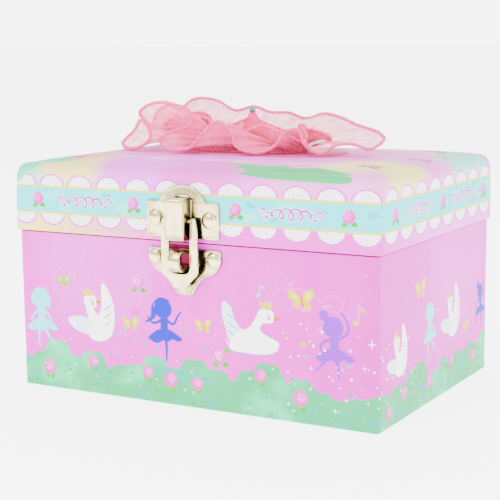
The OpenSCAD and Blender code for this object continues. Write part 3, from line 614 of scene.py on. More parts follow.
def base_art(wall):
    art = Art()
    art.at(0, 0)
    right, left, back = wall.right, wall.left, wall.back
    for s, z, size, flip in ((48, 43, 1.0, False), (-52, 46, 0.9, True), (right(10), 44, 1, False),
                             (left(0), 44, 1, True), (back(30), 43, 1, False), (back(-40), 44, 1, True)):
        draw_scroll(art, s, z, size, "ffccf8", flip)
    for s, z, r in ((-6, 41, 3.4), (4, 37, 2.6), (-1, 46, 2.2), (-22, 33, 2.2), (50, 32, 3), (66, 40, 3)):
        art.at(0, 0).add(disc(s, z, r, r * 0.8, 0.5, 24, 4, 0.1), "ffa4f0", 0.8)
    hedge = [(-74, 5, 6.5), (-66, 7.5, 6), (-58.5, 12, 7), (-50, 7, 6.5), (-42, 9.5, 6.8), (-35, 4.5, 5.6),
             (-29, 6.5, 6), (-22, 7, 6.3), (-14, 10.5, 6.9), (-6, 7, 6.8), (3, 10.6, 7.4), (12, 9, 6.4),
             (19, 6, 6), (26, 9.5, 7), (33, 12.8, 7), (39.5, 7, 6), (46, 9, 6.6), (53.5, 5.6, 6.4),
             (61, 4, 6), (68, 5, 6.5), (76, 6, 7)]
    span = wall.length / 2
    edge = 83.0
    while edge < span + 6:
        r = rng.uniform(5.8, 7.2)
        hedge.append((edge, rng.uniform(4, 11), r))
        hedge.append((-edge + 3, rng.uniform(4, 11), r))
        edge += rng.uniform(6.5, 8.2)
    art.at(0, 0).add(wall.strip(0, 7), hedge_ink)
    for x, z, r in hedge:
        art.at(0, 0).add(disc(x, z, r, count=24, bumps=6, depth=0.05), hedge_ink)
    for i in range(150):
        s, z = rng.uniform(-span, span), rng.uniform(1.5, 17)
        art.at(0, 0).add(disc(s, z, 0.9, 0.35, rng.uniform(-0.8, 0.8), 8), "45cfa6", 0.3)
    blooms = [(-62.5, 8), (-42, 12.4), (-17.3, 10.9), (-7.4, 9.3), (4, 9), (30, 15), (45.7, 8.8)]
    blooms += [(right(y), z) for y, z in ((-44, 5), (-31, 9), (-8, 8), (14, 11), (38, 8))]
    blooms += [(left(y), z) for y, z in ((-40, 9), (-14, 7), (10, 12), (36, 8))]
    blooms += [(back(x), z) for x, z in ((-64, 8), (-40, 12), (-12, 9), (14, 11), (38, 8), (62, 12))]
    for i, (s, z) in enumerate(blooms):
        draw_bud(art, s, z, 0.95 if i % 3 else 1.15)
    for s, z in ((-20.8, 44), (18.3, 25.4), (13.7, 20.1), (left(20), 42), (back(50), 40), (back(-20), 42)):
        draw_rose(art, s, z, 1.05, ("ffc0f2", "ffdcf8", "f070cc"))
    draw_dancer(art, -65.6, 26, "c3f4f8", "curtsey")
    draw_flying_swan(art, -40.2, 20.2, 1.0)
    draw_dancer(art, -9.6, 27.4, "929bff", "open")
    draw_swan(art, 27, 22.6, 1.02)
    draw_dancer(art, 58.8, 27.2, "d98aff", "arms_up")
    draw_butterfly(art, -24.2, 28, 0.9)
    draw_butterfly(art, 7.1, 30.2, 0.85)
    draw_butterfly(art, 46.5, 42.8, 1.25)
    draw_butterfly(art, -54.6, 41.5, 0.8, "c8f06a")
    draw_note(art, 68.2, 39.6, 1.2)
    draw_note(art, 30.4, 45, 0.8, "dff2ff")
    art.at(46.8, 28).add(disc(0, 0, 1.2, count=10, bumps=5, depth=0.3), "ffe820")
    draw_flying_swan(art, right(-35.6), 15.9, 0.82)
    draw_dancer(art, right(-7.4), 26.4, "c3f4f8", "curtsey", 0.85)
    draw_flying_swan(art, right(14.6), 20, 0.9)
    draw_dancer(art, right(45.5), 26.5, "6f9cf5", "arms_up", 0.75)
    draw_butterfly(art, right(-16.5), 43, 1.2)
    draw_butterfly(art, right(30), 21, 0.8)
    art.at(right(49.8), 41).add(disc(0, 0, 1.1, count=10, bumps=5, depth=0.3), "cdee4c")
    for y, code, pose in ((38, "d98aff", "arms_up"), (-6, "929bff", "open")):
        draw_dancer(art, left(y), 27, code, pose, 0.95, True)
    draw_swan(art, left(16), 21, 0.95, True)
    draw_flying_swan(art, left(-30), 19, 0.9, True)
    for x, code, pose in ((58, "c3f4f8", "curtsey"), (8, "d98aff", "arms_up"), (-58, "929bff", "open")):
        draw_dancer(art, back(x), 27, code, pose, 1.0, x < 0)
    draw_swan(art, back(32), 22, 1.0)
    draw_flying_swan(art, back(-26), 20, 1.0)
    for x, z in ((-8, 30), (22, 44), (-44, 33), (46, 24)):
        draw_butterfly(art, back(x), z, 1.0)
    for low, high, count, code in ((2, 20, 150, "ffffff"), (18, 54, 110, "fff2fd")):
        draw_dots(art, -span + 2, span - 2, low, high, count, code, 0.14, 0.36)
    draw_dots(art, 40, right(-20), 6, 34, 60, "ffffff", 0.16, 0.5)
    sparkles = [(54, 33, 1.3), (72.4, 30.5, 1.9), (46, 35, 0.9), (64.6, 27.6, 1.1), (50, 20, 1.0),
                (70, 22, 1.2), (-63.5, 7, 0.9), (-53, 6.5, 0.8), (43, 4, 1.0), (59, 6, 1.1),
                (right(-30), 28, 1.2), (right(8), 12, 1)]
    sparkles += [(rng.uniform(-span + 3, -80), rng.uniform(4, 40), rng.uniform(0.7, 1.4)) for _ in range(20)]
    sparkles += [(rng.uniform(110, span - 3), rng.uniform(4, 40), rng.uniform(0.7, 1.4)) for _ in range(12)]
    for s, z, r in sparkles:
        draw_sparkle(art, s, z, r)
    # Painted shade: a deep magenta patch on the paper behind the latch, seen through the staple's opening and
    # the hasp's slot
    art.at(0, 0).add([(-7.4, 46), (4.6, 46), (4.6, 59.4), (-7.4, 59.4)], "cc4a9e", 0.2)
    for s, z in ((-32, 23), (-27.5, 25.6), (-23, 22), (-30.5, 16.6), (-18.4, 21.5), (-13, 20.6), (6.6, 22),
                 (-1, 27.5), (48, 23.6), (64, 22)):
        art.at(0, 0).add(disc(s, z, 0.75, 0.6, 0.5, 8), "6fd8cf", 0.2)
    return art


def base_ground(p):
    """Pink of the base's wall, deeper towards the front right corner."""
    near = max(0.0, 1 - math.dist(p, (75, -53, p[2])) / 60)
    colour = mixed(ink_colour("ffb0f0"), ink_colour("f79be6"), near)
    lift = patch(p, -40, -53, 50, 26, 3) * 0.5 + patch(p, 75, 20, 48, 26, 5) * 0.5
    return (*mixed(colour, ink_colour("ffcdf6"), lift), 0.7)


def hedge_ink(p):
    """Mint washes of a hedge, from pale at the foot to teal."""
    spot = Vector((p[0] * 0.07, p[1] * 0.07, p[2] * 0.1))
    tone = noise.noise(spot) + 0.5 * noise.noise(spot * 2.3)
    colour = mixed(ink_colour("44e0b8"), ink_colour("9cfcd8"), 1.9 * tone + 0.05)
    teal = 2.2 * noise.noise(spot * 1.7 + Vector((9, 3, 1))) - 0.2
    return (*mixed(colour, ink_colour("30d4c0"), teal), 0.6)


def clipped(shapes, low, high, end):
    """Keeps shapes off the borders that other pieces join, and inside the unrolled length."""
    kept = []
    for outline, colour in shapes:
        outline = split_long(outline)
        outline[:, 1] = np.clip(outline[:, 1], low, high)
        outline[:, 0] = np.clip(outline[:, 0], -end, end)
        if np.ptp(outline[:, 0]) > 0.05 and np.ptp(outline[:, 1]) > 0.05:
            kept.append((outline, colour))
    return kept


def over_rim(t):
    """How far in and how far past the rim the paper lies, at t from 0 to 1 over the edge of the board."""
    return 0.15 + 2.9 * t if t > 0 else 0.0, 0.14 * min(1.0, t * 6)


def build_base_wrap():
    wall = Wall(BASE_X, BASE_Y)
    end = wall.length / 2
    wrap = Wrap()

    def outer(s, z):
        return (*wall.inward(s, CORNER, 0), z)

    def folded(s, t):
        inset, past = over_rim(t)
        return (*wall.inward(s, CORNER, inset), BASE_H + past)

    def under(s, t):
        return (*wall.inward(s, CORNER, -t), 0.0 if t == 0 else -0.001)

    wrap.add(wall.strip(0, BASE_H), wall.grid(range(3, 60, 3)),
             clipped(base_art(wall).shapes, 0, BASE_H - 0.5, end), outer, base_ground)
    # The turn-in over the base's rim is coloured deep magenta as painted seam shade
    wrap.add(wall.strip(0, 1), wall.grid((0.08, 0.5)), [], folded, lambda p: SEAM_SHADE_MAGENTA)
    wrap.add(wall.strip(-6, 0), [], [], under, lambda p: (*ink_colour("7fe8c0"), 0.8))
    return wrap.build("printed_base_wrap", ["case_wrap"], "case")


def lid_corner(z):
    """Radius of the lid's upright corners at a height: sharp below, as round as the top's edge above."""
    low, high = min(max((z - 70) / 9, 0.0), 1.0), min(max((z - 81.3) / 1.7, 0.0), 1.0)
    return CORNER + 1.1 * low + (REACH - CORNER - 1.1) * high * high * (3 - 2 * high)


def crown(inset):
    """Height of the padded top at a distance in from the lid's outer face."""
    slope = 19
    t = min(max((inset - REACH) / slope, 0.0), 1.0)
    return LID_EDGE + (LID_TOP - LID_EDGE) * (1 - (1 - t) ** 2)


def lid_art(wall):
    art = Art()
    end = wall.length / 2
    blots = [(rng.uniform(-end + 4, end - 4), rng.uniform(69.5, 76.2),
              rng.uniform(1.5, 3.4)) for _ in range(90)]
    art.at(0, 0)
    pitch = wall.length / 40
    for k in range(40):
        s = -end + (k + 0.5) * pitch
        draw_lace(art, s, 77.8, True)
        draw_lace(art, s, 67.7, False)
    art.at(0, 0)
    art.add(wall.strip(67.5, 78), "f4f86c", 0.2)
    art.add(wall.strip(68.2, 77.3), "aef0f4", 0.3)
    art.blob([(20, 86.8), (30, 84.8), (46, 84), (62, 83.8), (65, 85.4), (61, 88.2), (44, 88.2), (26, 88.2)],
             "80ecc0", 0.8)
    art.blob([(-76, 78), (-70, 82), (-64, 88.2), (-80, 88.2), (-82, 80)], "b8f6dc", 0.8)
    # Painted shade: a deep magenta patch on the paper behind the latch, seen through the hasp's slot
    art.add([(-7.4, 60.8), (4.6, 60.8), (4.6, 64), (-7.4, 64)], "cc4a9e", 0.2)
    for s, z, r in blots:
        art.add(disc(s, z, r, r * 0.5, rng.uniform(-0.5, 0.5), 12, 3, 0.15),
                "c9f7ee" if r > 2.4 else "8fe6f6", 0.5)
    front = [-64.6, -21.3, 21.3, 64.6]
    roses = front + [side(y) for side in (wall.right, wall.left) for y in (-42, 1, 44)]
    roses += [wall.back(x) for x in front]
    for s in roses:
        draw_rose(art, s, 73, 0.95, ("ffa8ec", "ffccf6", "ee58c4"))
    for s in [-43, 43, wall.right(-20.5), wall.right(22.5), wall.left(-20.5), wall.left(22.5), wall.back(43),
              wall.back(-43)]:
        draw_flourish(art, s, 72.6)
    draw_flourish(art, end - 12.5, 72.6)
    draw_dots(art, -end + 2, end - 2, 69, 76.6, 90, "ffffff", 0.12, 0.3)
    return art


def lid_ground(p):
    """Soft pastel clouds over the lid: pink and lilac with mint, peach, cream and yellow."""
    x, y, z = p
    low = mixed(ink_colour("fff4dc"), ink_colour("ffbcf0"), (x + 62) / 60)
    if y > -LID_Y + 1 and x > 0:
        low = mixed(low, ink_colour("ffdcfa"), (y + LID_Y) / 60)
    colour = mixed(low, ink_colour("ffd6f8"), (z - 68) / 8)
    for where, r, code in (((-76, -54, 82), 15, "c9f8e6"), ((-50, -50, 86), 15, "fff8d8"),
                           ((-20, -48, 88), 20, "fad0fa"), ((6, -52, 84), 16, "ffccf0"),
                           ((44, -40, 88), 18, "ffe0f4"), ((66, -32, 88), 20, "fffcd8"),
                           ((66, -50, 84), 10, "ffe2f8"), ((-60, -30, 88), 15, "ffe8e4"),
                           ((62, 14, 88), 20, "ffe4f8"), ((0, 42, 88), 24, "c9f8e6"),
                           ((-60, 30, 88), 24, "ecc8ff"), ((40, 46, 87), 20, "fff8d4"),
                           ((76, 30, 84), 16, "d6f8ec"), ((-76, 10, 84), 18, "ffe6e0")):
        colour = mixed(colour, ink_colour(code), 0.9 * patch(p, *where, r, r))
    return (*colour, 0.5)


def build_lid_wrap():
    wall = Wall(LID_X, LID_Y)
    end = wall.length / 2
    wrap = Wrap()
    round_z = LID_EDGE - REACH

    def outer(s, t):
        """Up the wall, then over the rounded edge, with t the height or the distance past it."""
        if t <= round_z:
            return (*wall.inward(s, lid_corner(t), 0), t)
        a = min((t - round_z) / REACH, math.pi / 2)
        z = round_z + REACH * math.sin(a)
        return (*wall.inward(s, lid_corner(z), REACH * (1 - math.cos(a))), z)

    def folded(s, t):
        inset, past = over_rim(t)
        return (*wall.inward(s, CORNER, inset), LID_Z - past)

    quarter = REACH * math.pi / 2
    high = round_z + quarter
    rows = [*np.arange(63, 82, 3), 81.3, 81.65, 82.35, 82.7, *(round_z + quarter * k / 6 for k in range(6))]
    wrap.add(wall.strip(LID_Z, high), wall.grid(rows),
             clipped(lid_art(wall).shapes, LID_Z + 0.3, high - 0.2, end), outer, lid_ground)
    # The turn-in under the lid's rim is coloured deep magenta as painted seam shade
    wrap.add(wall.strip(0, 1), wall.grid((0.08, 0.5)), [], folded, lambda p: SEAM_SHADE_MAGENTA)

    rim = []
    for s in wall.stations()[:-1]:
        spot = wall.inward(s, REACH, REACH)
        if not rim or math.dist(rim[-1], spot) > 0.01:
            rim.append(spot)
    inner = [(x, y) for x in np.arange(-69, 70, 3.0) for y in np.arange(-48, 49, 3.0)]

    def top(x, y):
        edge = min(LID_X - abs(x), LID_Y - abs(y))
        crease = 0.12 * noise.noise(Vector((x * 0.12, y * 0.12, 4)))
        return (x, y, crown(edge) + crease * min(1.0, max(0.0, (edge - REACH) / 6)))

    wrap.add(rim, inner, lid_top_art().shapes, top, lid_ground)
    return wrap.build("printed_lid_wrap", ["lid_wrap"], "lid")


def lid_top_art():
    """Painted lines and blossoms round the net skirt on the top."""
    art = Art()
    art.at(0, 0)
    for shift, code in ((0, "ffffff"), (3.4, "fff3fb")):
        for start in (-44, -8, 28):
            art.add(stroke([(start, -30 - shift), (start + 7, -33 - shift), (start + 14, -30.5 - shift),
                            (start + 22, -33.5 - shift), (start + 31, -31 - shift)], 0.2, 1.1, 0.5, 1.2, 0.2),
                            code, 0)
    art.blob([(25, -49.8), (60, -49.8), (61, -47.4), (54, -44), (47, -41.6), (40, -42.8), (33, -40.6),
              (25, -41.4), (16, -39), (10, -40.4), (18, -43), (12, -45.4), (21, -46.4)], "80ecc0", 0.8)
    art.blob([(30, -48), (44, -48.6), (52, -46), (42, -45.2), (34, -45.8)], "5ce0b8", 0.5)
    art.blob([(-66, -49), (-58, -48), (-52, -44), (-60, -42), (-67, -44)], "b8f6dc", 0.8)
    art.add(stroke([(-20, -46), (-17.5, -43.5), (-13.5, -42)], 0.3, 1.0, 0.3), "4fc8b0", 0.2)
    art.add(stroke([(-12, -42), (-10, -39.5), (-6, -38)], 0.3, 0.9, 0.3), "4fc8b0", 0.2)
    for x, y in ((-58, -36), (62, -30), (-62, 34), (60, 36), (-20, 44), (24, 43), (-66, 0), (66, 6)):
        draw_rose(art, x, y, 1.5, ("ffc2f0", "ffdcf6", "fa80d0"))
    for x, y in ((-44, 42), (42, 30), (4, 46), (-64, 18), (68, 22)):
        draw_butterfly(art, x, y, 1.1)
    for _ in range(60):
        x, y = rng.uniform(-66, 66), rng.choice((-1, 1)) * rng.uniform(24, 46)
        art.at(0, 0).add(disc(x, y, rng.uniform(0.2, 0.5), count=7), "ffffff", 0)
    return art


build_base_wrap()
build_lid_wrap()

# ---- solid forms in millimetres ----


def grid_faces(rows, across, closed=True, looped=False):
    """Faces over rows of points. closed joins each row's two ends, looped joins the last row to the first."""
    faces = []
    for i in range(rows if looped else rows - 1):
        for k in range(across if closed else across - 1):
            j, m = (i + 1) % rows, (k + 1) % across
            faces.append((i * across + k, i * across + m, j * across + m, j * across + k))
    return faces


def end_faces(rows, across):
    """The two caps of a rod made of closed rows."""
    return [tuple(range(across))[::-1], tuple(range((rows - 1) * across, rows * across))]


def tube(path, radius, sides=8, closed=False, squeeze=1.0):
    """Points and faces of a round rod that follows a path; radius is one number or one for each point."""
    path = np.array(path, float)
    count = len(path)
    radii = np.broadcast_to(np.array(radius, float), (count,))
    ahead = np.roll(path, -1, 0) - np.roll(path, 1, 0)
    if not closed:
        ahead[0], ahead[-1] = path[1] - path[0], path[-1] - path[-2]
    ahead /= np.linalg.norm(ahead, axis=1)[:, None]
    side = np.cross(ahead[0], (0, 0, 1) if abs(ahead[0][2]) < 0.9 else (1, 0, 0))
    points = []
    for i in range(count):
        side = side - ahead[i] * np.dot(side, ahead[i])
        side /= np.linalg.norm(side)
        other = np.cross(ahead[i], side)
        for a in turns(sides):
            points.append(path[i] + radii[i] * (math.cos(a) * side + squeeze * math.sin(a) * other))
    faces = grid_faces(count, sides, True, closed)
    return points, faces if closed else faces + end_faces(count, sides)


def lathe(profile, sides=32):
    """Points and faces of a form turned about Z from (radius, height) pairs."""
    points = [np.array((r * math.cos(a), r * math.sin(a), h)) for r, h in profile for a in turns(sides)]
    return points, grid_faces(len(profile), sides)


def ball(centre, radii, rings=12, sides=20):
    """Oval ball."""
    angles = np.linspace(-math.pi / 2, math.pi / 2, rings)
    unit = lathe([(math.cos(a), math.sin(a)) for a in angles], sides)
    return moved(unit, lambda p: np.array(centre) + p * np.array(radii))


def moved(form, put):
    """The form with each of its points put elsewhere."""
    points, faces = form
    return [np.array(put(p)) for p in points], faces


def mirrored(points):
    """The points on the other side of the middle, in the order that goes on round an outline."""
    return [(-x, z) for x, z in reversed(points)]


def both(make):
    """The right and the left one of a pair, from a function of the side's sign."""
    return [make(s) for s in (-1, 1)]


def joined(*forms):
    points, faces = [], []
    for form_points, form_faces in forms:
        start = len(points)
        points += list(form_points)
        faces += [tuple(i + start for i in f) for f in form_faces]
    return points, faces


def finish_mesh(obj, sharp=40):
    """Welds points that coincide, turns the faces outward and marks the sharp edges."""
    bm = bmesh.new()
    bm.from_mesh(obj.data)
    bmesh.ops.remove_doubles(bm, verts=bm.verts, dist=2e-6)
    bmesh.ops.dissolve_degenerate(bm, edges=bm.edges, dist=1e-7)
    bmesh.ops.recalc_face_normals(bm, faces=bm.faces)
    bm.to_mesh(obj.data)
    bm.free()
    obj.data.shade_smooth()
    obj.data.set_sharp_from_angle(angle=math.radians(sharp))


def piece(name, form, mats, slot_name, body, nodes=(), sharp=40, place=None):
    """Makes one piece of the object from points in millimetres, and ties it to its CAD body and nodes."""
    points, faces = form
    put = place or (lambda p: p)
    obj = mesh_object(name, [Vector(put(p)) * MM for p in points], faces, mats)
    finish_mesh(obj, sharp)
    if nodes:
        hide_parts(*nodes)
    if body:
        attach(obj, body)
    return obj


def pressed(outline, holes, thick, bevel, rim=0.0):
    """Flat plate with rounded edges, its thickness from 0 up along local Z. rim raises a narrow border."""
    data = bpy.data.curves.new("cut", "CURVE")
    data.dimensions = "2D"
    data.fill_mode = "BOTH"
    data.extrude = thick / 2 - bevel
    data.bevel_depth = bevel
    data.bevel_resolution = 2
    data.offset = -bevel
    for ring in [outline, *holes]:
        spline = data.splines.new("POLY")
        spline.points.add(len(ring) - 1)
        for point, (x, y) in zip(spline.points, ring):
            point.co = (x, y, 0, 1)
        spline.use_cyclic_u = True
    holder = bpy.data.objects.new("cut", data)
    bpy.context.scene.collection.objects.link(holder)
    mesh = bpy.data.meshes.new_from_object(holder.evaluated_get(bpy.context.evaluated_depsgraph_get()))
    points = [np.array(v.co) + (0, 0, thick / 2) for v in mesh.vertices]
    faces = [tuple(f.vertices) for f in mesh.polygons]
    bpy.data.objects.remove(holder)
    bpy.data.meshes.remove(mesh)
    forms = [(points, faces)]
    if rim:
        inside = np.array(outline, float)
        middle = inside.mean(0)
        step = np.roll(inside, -1, 0) - np.roll(inside, 1, 0)
        normal = np.stack([-step[:, 1], step[:, 0]], 1) / np.maximum(np.hypot(*step.T), 1e-6)[:, None]
        if np.mean(np.sum(normal * (middle - inside), axis=1)) < 0:
            normal = -normal
        path = np.column_stack([inside + normal * rim * 1.5, np.full(len(inside), thick - 0.1)])
        forms.append(tube(path, rim, 8, True, 0.8))
    return joined(*forms)


def facing(y):
    """Stands a flat form up on the front of the box: its thickness runs towards -Y from y."""
    return lambda p: (p[0], y - p[2], p[1])


def arc(cx, cy, r, start, end, count=12):
    angles = np.radians(np.linspace(start, end, count))
    return [(cx + r * math.cos(a), cy + r * math.sin(a)) for a in angles]


def rounded(points, r, count=5):
    """Outline with its corners rounded to radius r, or to each corner's own radius."""
    ring = [np.array(p, float) for p in points]
    made = []
    for i, corner in enumerate(ring):
        size = r[i] if hasattr(r, "__len__") else r
        before, after = ring[i - 1] - corner, ring[(i + 1) % len(ring)] - corner
        before_len, after_len = np.linalg.norm(before), np.linalg.norm(after)
        reach = min(size, before_len * 0.49, after_len * 0.49)
        a, b = corner + before / before_len * reach, corner + after / after_len * reach
        for t in np.linspace(0, 1, count):
            made.append((1 - t) ** 2 * a + 2 * t * (1 - t) * corner + t * t * b)
    return made


# ---- latch ----


def rivet_head(x, z, y, r=3.0, h=1.5, collar=0.35):
    """Domed head on a thin collar, standing out from y."""
    profile = [(r, 0), (r, 0.25), (r * 0.93, collar)]
    for a in np.linspace(0.15, math.pi / 2, 9):
        profile.append((r * 0.9 * math.cos(a), collar + (h - collar) * math.sin(a)))
    return moved(lathe(profile, 28), lambda p: (x + p[0], y - p[2], z + p[1]))


def latch_piece(name, form, body, nodes=(), place=None):
    return piece(name, form, NICKEL, "nickel", body, nodes, place=place)


def build_channel():
    """Pressed channel of the upper plate: a thin box that is open towards the plate and below."""
    size, middle = Vector((7.5, 7.2, 14.9)), Vector((0, -57.4, 69.25))
    bm = bmesh.new()
    bmesh.ops.create_cube(bm, size=1)
    for v in bm.verts:
        v.co = middle + v.co * size
    low = [f for f in bm.faces if f.normal.z < -0.5 or f.normal.y > 0.5]
    bmesh.ops.delete(bm, geom=low, context="FACES")
    ring = [e for e in bm.edges if not e.is_boundary]
    bmesh.ops.bevel(bm, geom=ring, offset=1.5, segments=5, profile=0.6, affect="EDGES")
    shell = [np.array(v.co) for v in bm.verts], [tuple(v.index for v in f.verts) for f in bm.faces]
    bm.free()
    block = latch_piece("latch_channel", shell, None)
    thick = block.modifiers.new("wall", "SOLIDIFY")
    thick.thickness, thick.offset = 0.9 * MM, -1 if block.data.polygons[0].normal.y < 0 else 1
    thick.use_even_offset = True
    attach(block, "lid")


def build_upper_latch():
    """Plate on the lid with an arched top, a lip round the channel and two rivets."""
    corner, low, high, r = 14.1, 62.9, 74.1, 0.9
    upper = arc(corner, low, r, 270, 360, 5) + arc(corner, high, r, 0, 90, 5) + arc(0, 69.7, 11.2, 28, 152,
                                                                                    22)
    upper += arc(-corner, high, r, 90, 180, 5) + arc(-corner, low, r, 180, 270, 5)
    plate = moved(pressed(upper, [], PLATE, SOFT, 0.4), facing(-LID_Y))
    side = [(-3.75, 62), (-3.75, 75.6), (-2.4, 76.9)]
    lip = tube([(x, -54.9, z) for x, z in side + mirrored(side)], 0.45, 8)
    latch_piece("latch_upper_plate_pressed", joined(plate, lip), "lid", ["latch_upper_plate"])
    heads = joined(*both(lambda s: rivet_head(s * 11.2, 68.8, -LID_Y - PLATE)))
    latch_piece("latch_upper_rivet_heads", heads, "lid", ["latch_upper_rivets"])


def build_lower_latch():
    """Plate on the base that narrows downwards, with an opening behind the staple and three rivets."""
    left = [(-15, 58), (-15, 53), (-12.4, 49.6), (-9.4, 48.6), (-6.6, 47.2), (-4.8, 44.4), (-3.2, 41.3)]
    radii = [0.9, 3, 3, 2, 2, 2, 2.4]
    lower = rounded(left + mirrored(left), radii + radii[::-1])
    opening = rounded([(-2, 52.3), (-2, 56.3), (2, 56.3), (2, 52.3)], 0.5)
    latch_piece("latch_lower_plate_pressed", pressed(lower, [opening], PLATE, SOFT, 0.35), "case",
                ["latch_lower_plate"], facing(-BASE_Y))
    heads = joined(*(rivet_head(x, z, -BASE_Y - PLATE) for x, z in ((-12.2, 54.6), (12.2, 54.6), (0, 44.2))))
    latch_piece("latch_lower_rivet_heads", heads, "case", ["latch_lower_rivets"])


def build_staple():
    """Strip bent to a round eye that stands out of the lower plate's opening, drawn as (y, z)."""
    wide, back, y, z = 4.5, -53.1, -57.7, 54.3
    strip = [(back, 57.1)] + arc(y, z, 4.05, 60, 300, 28) + [(back, 51.5), (back, 52.6)]
    strip += arc(y, z, 2.9, 300, 60, 22) + [(back, 56.0)]
    latch_piece("latch_staple_loop", pressed(strip, [], wide, 0.3), "case", ["latch_staple"],
                lambda p: (p[2] - wide / 2, p[0], p[1]))


def build_hasp():
    """Slotted strap with a rounded tip, and the two ends of the pin that it hangs on."""
    outer = [(-6.9, 69.5), (-7.5, 64), (-7.5, 49.4), (-5.9, 48.1), (-3.6, 46), (-2.9, 44.2)]
    slot = [(4.6, 69.5), (4.3, 64), (4.3, 49.6), (-4.3, 49.6), (-4.3, 64)]
    radii = [0.8, 2, 2.4, 1.5, 1, 2.2]
    shape = rounded([(-4.6, 69.5)] + outer + mirrored(outer) + slot,
                    [0.8, *radii, *radii[::-1], 0.8, 2, 2.6, 2.6, 2])
    plate = moved(pressed(shape, [], 1.0, 0.3), facing(-56.4))
    pins = both(lambda s: tube([(s * 2.5, -56.9, 68.4), (s * 5.6, -56.9, 68.4)], 0.85, 12))
    latch_piece("latch_hasp_pressed", joined(plate, *pins), "hasp", ["hasp"])


build_channel()
build_upper_latch()
build_lower_latch()
build_staple()
build_hasp()

# ---- net ruffle on the lid ----


def net(name, dark, light, cover, scale=120):
    """Fine see-through net, whose cover varies a little from place to place."""
    look = Look(name)
    look.put(Base_Color=look.ramp(look.noise(scale), linear(dark), linear(light)))
    look.put(Roughness=look.span(look.noise(600), 0.7, 0.9), Sheen_Weight=0.35)
    look.put(Alpha=look.span(look.noise(260, 3), cover * 0.85, min(1, cover * 1.15)))
    look.bump(look.noise(1800, 2), 0.4, 0.0001)
    return look.mat


TULLE = net("tulle", "ff3c92", "ff6cb0", 0.74)
TULLE_DEEP = net("tulle_deep", "ff2c78", "ff589c", 0.9)
HEM = surface("merrowed_thread", "f03484", "ff5c9c", 0.75, 900, 0.7)


def frill(base, edge, rows=10, pleats=60, depth=1.1, lift=2.0, seed=0.0):
    """Sheet gathered along base, with its free side along edge; pleats fade towards the edge."""
    points = []
    count = len(edge)
    for i in range(count):
        for k in range(rows + 1):
            v = k / rows
            spot = base[i] * (1 - v) + edge[i] * v
            out = edge[i] - base[i]
            across = np.array([-out[1], out[0], 0.0])
            across /= max(np.linalg.norm(across), 1e-6)
            pleat = math.sin(2 * math.pi * pleats * i / count + seed + 2.5 * v)
            fold = pleat * depth * min(1.0, 0.35 + 3 * v) * (1 - 0.75 * v)
            puff = lift * math.sin(math.pi * v)
            wob = 2.7 * v * (1 - v) * noise.noise(Vector(spot) * 0.11 + Vector((seed, 0, 0)))
            points.append(spot + across * fold + np.array([0, 0, puff + wob]))
    return points, grid_faces(count, rows + 1, False)


def hem_of(edge, seed):
    """Thread sewn over the free side, with the small bumps of its stitches."""
    t = np.arange(len(edge))
    wob = np.stack([0.16 * np.sin(t * 1.9 + seed), 0.16 * np.cos(t * 2.3 + seed), 0.16 * np.sin(t * 2.9)], 1)
    return tube(edge + wob, 0.62 + 0.12 * np.sin(t * 2.6), 7)


def build_ruffle():
    outer = [(-60, 4, 95), (-60, -4, 91), (-54, -11, 89.3), (-46, -14, 89.6), (-41, -13, 93.5), (-46, -8, 99),
             (-51, -5, 102.5), (-47, -6, 105.6), (-38, -9, 107.4), (-28, -11, 106), (-21, -12, 102.5),
             (-23, -13, 98.6), (-30, -14, 96.6), (-35, -15, 93), (-30, -16.5, 89.6), (-20, -17, 90.6),
             (-15, -16, 96), (-9, -15, 100.6), (-3, -15, 97.5), (0, -16, 91.6), (8, -15, 89.4), (15, -14, 92),
             (19, -13, 97), (24, -12, 98), (27, -12, 92.5), (33, -11, 89.6), (38, -9, 92.6), (44, -7, 93),
             (49, -3, 91), (52, 3, 94.4), (46, 8, 97), (37, 11, 99), (29, 14, 101.4), (21, 16, 102.6),
             (12, 18, 100.5), (4, 19, 102.5), (-5, 20, 102.6), (-13, 21, 104.6), (-22, 21, 103),
             (-30, 20, 107), (-39, 18, 107.6), (-46, 17, 103.5), (-50, 15, 105), (-55, 13, 101.6),
             (-57, 12, 95), (-60, 9, 99)]
    edge = curve(outer, True, 12)
    edge = np.concatenate([edge, edge[:1]])
    turn_at = np.linspace(0, 2 * math.pi, len(edge)) + math.pi
    base = np.stack([-5 + 25 * np.cos(turn_at), 2 + 9 * np.sin(turn_at), np.full(len(edge), 88.7)], 1)
    skirt = piece("tulle_ruffle_skirt", frill(base, edge, 10, 58, 1.5, 2.2), TULLE, "tulle", "lid",
                  ["tulle_ruffle"], sharp=180)
    hem = piece("tulle_ruffle_hem", hem_of(edge, 0), HEM, "tulle", "lid", sharp=180)
    t = np.linspace(0, 1, 340)
    a = 2 * math.pi * t + math.pi
    waves = 4.6 * np.sin(7 * a) + 1.2 * np.sin(15 * a + 1)
    high = 98 + 2.4 * np.cos(7 * a + 1.2) - 2.6 * np.cos(a)
    inner_edge = np.stack([-7 + (33 + waves) * np.cos(a), 2 + (13 + 0.5 * waves) * np.sin(a), high], 1)
    inner_base = np.stack([-5 + 20 * np.cos(a), 2 + 6.5 * np.sin(a), np.full(len(a), 88.7)], 1)
    under = piece("tulle_ruffle_under", frill(inner_base, inner_edge, 8, 60, 1.3, 1.5, 3.0), TULLE_DEEP,
                  "tulle", "lid", sharp=180)
    inner_hem = piece("tulle_ruffle_under_hem", hem_of(inner_edge, 2), HEM, "tulle", "lid", sharp=180)
    a = np.linspace(0, 2 * math.pi, 240)
    foot = np.stack([-2 + 9 * np.cos(a), 2 + 5 * np.sin(a), np.full(len(a), 88.6)], 1)
    neck = np.stack([-3 + 1.3 * np.cos(a), 2 + 1.3 * np.sin(a), 103.2 + 0.3 * np.cos(8 * a)], 1)
    tuft = piece("tulle_ruffle_tuft", frill(foot, neck, 12, 22, 0.9, 0.0, 5.0), TULLE_DEEP, "tulle", "lid",
                 sharp=180)


build_ruffle()

# ---- padded pieces ----


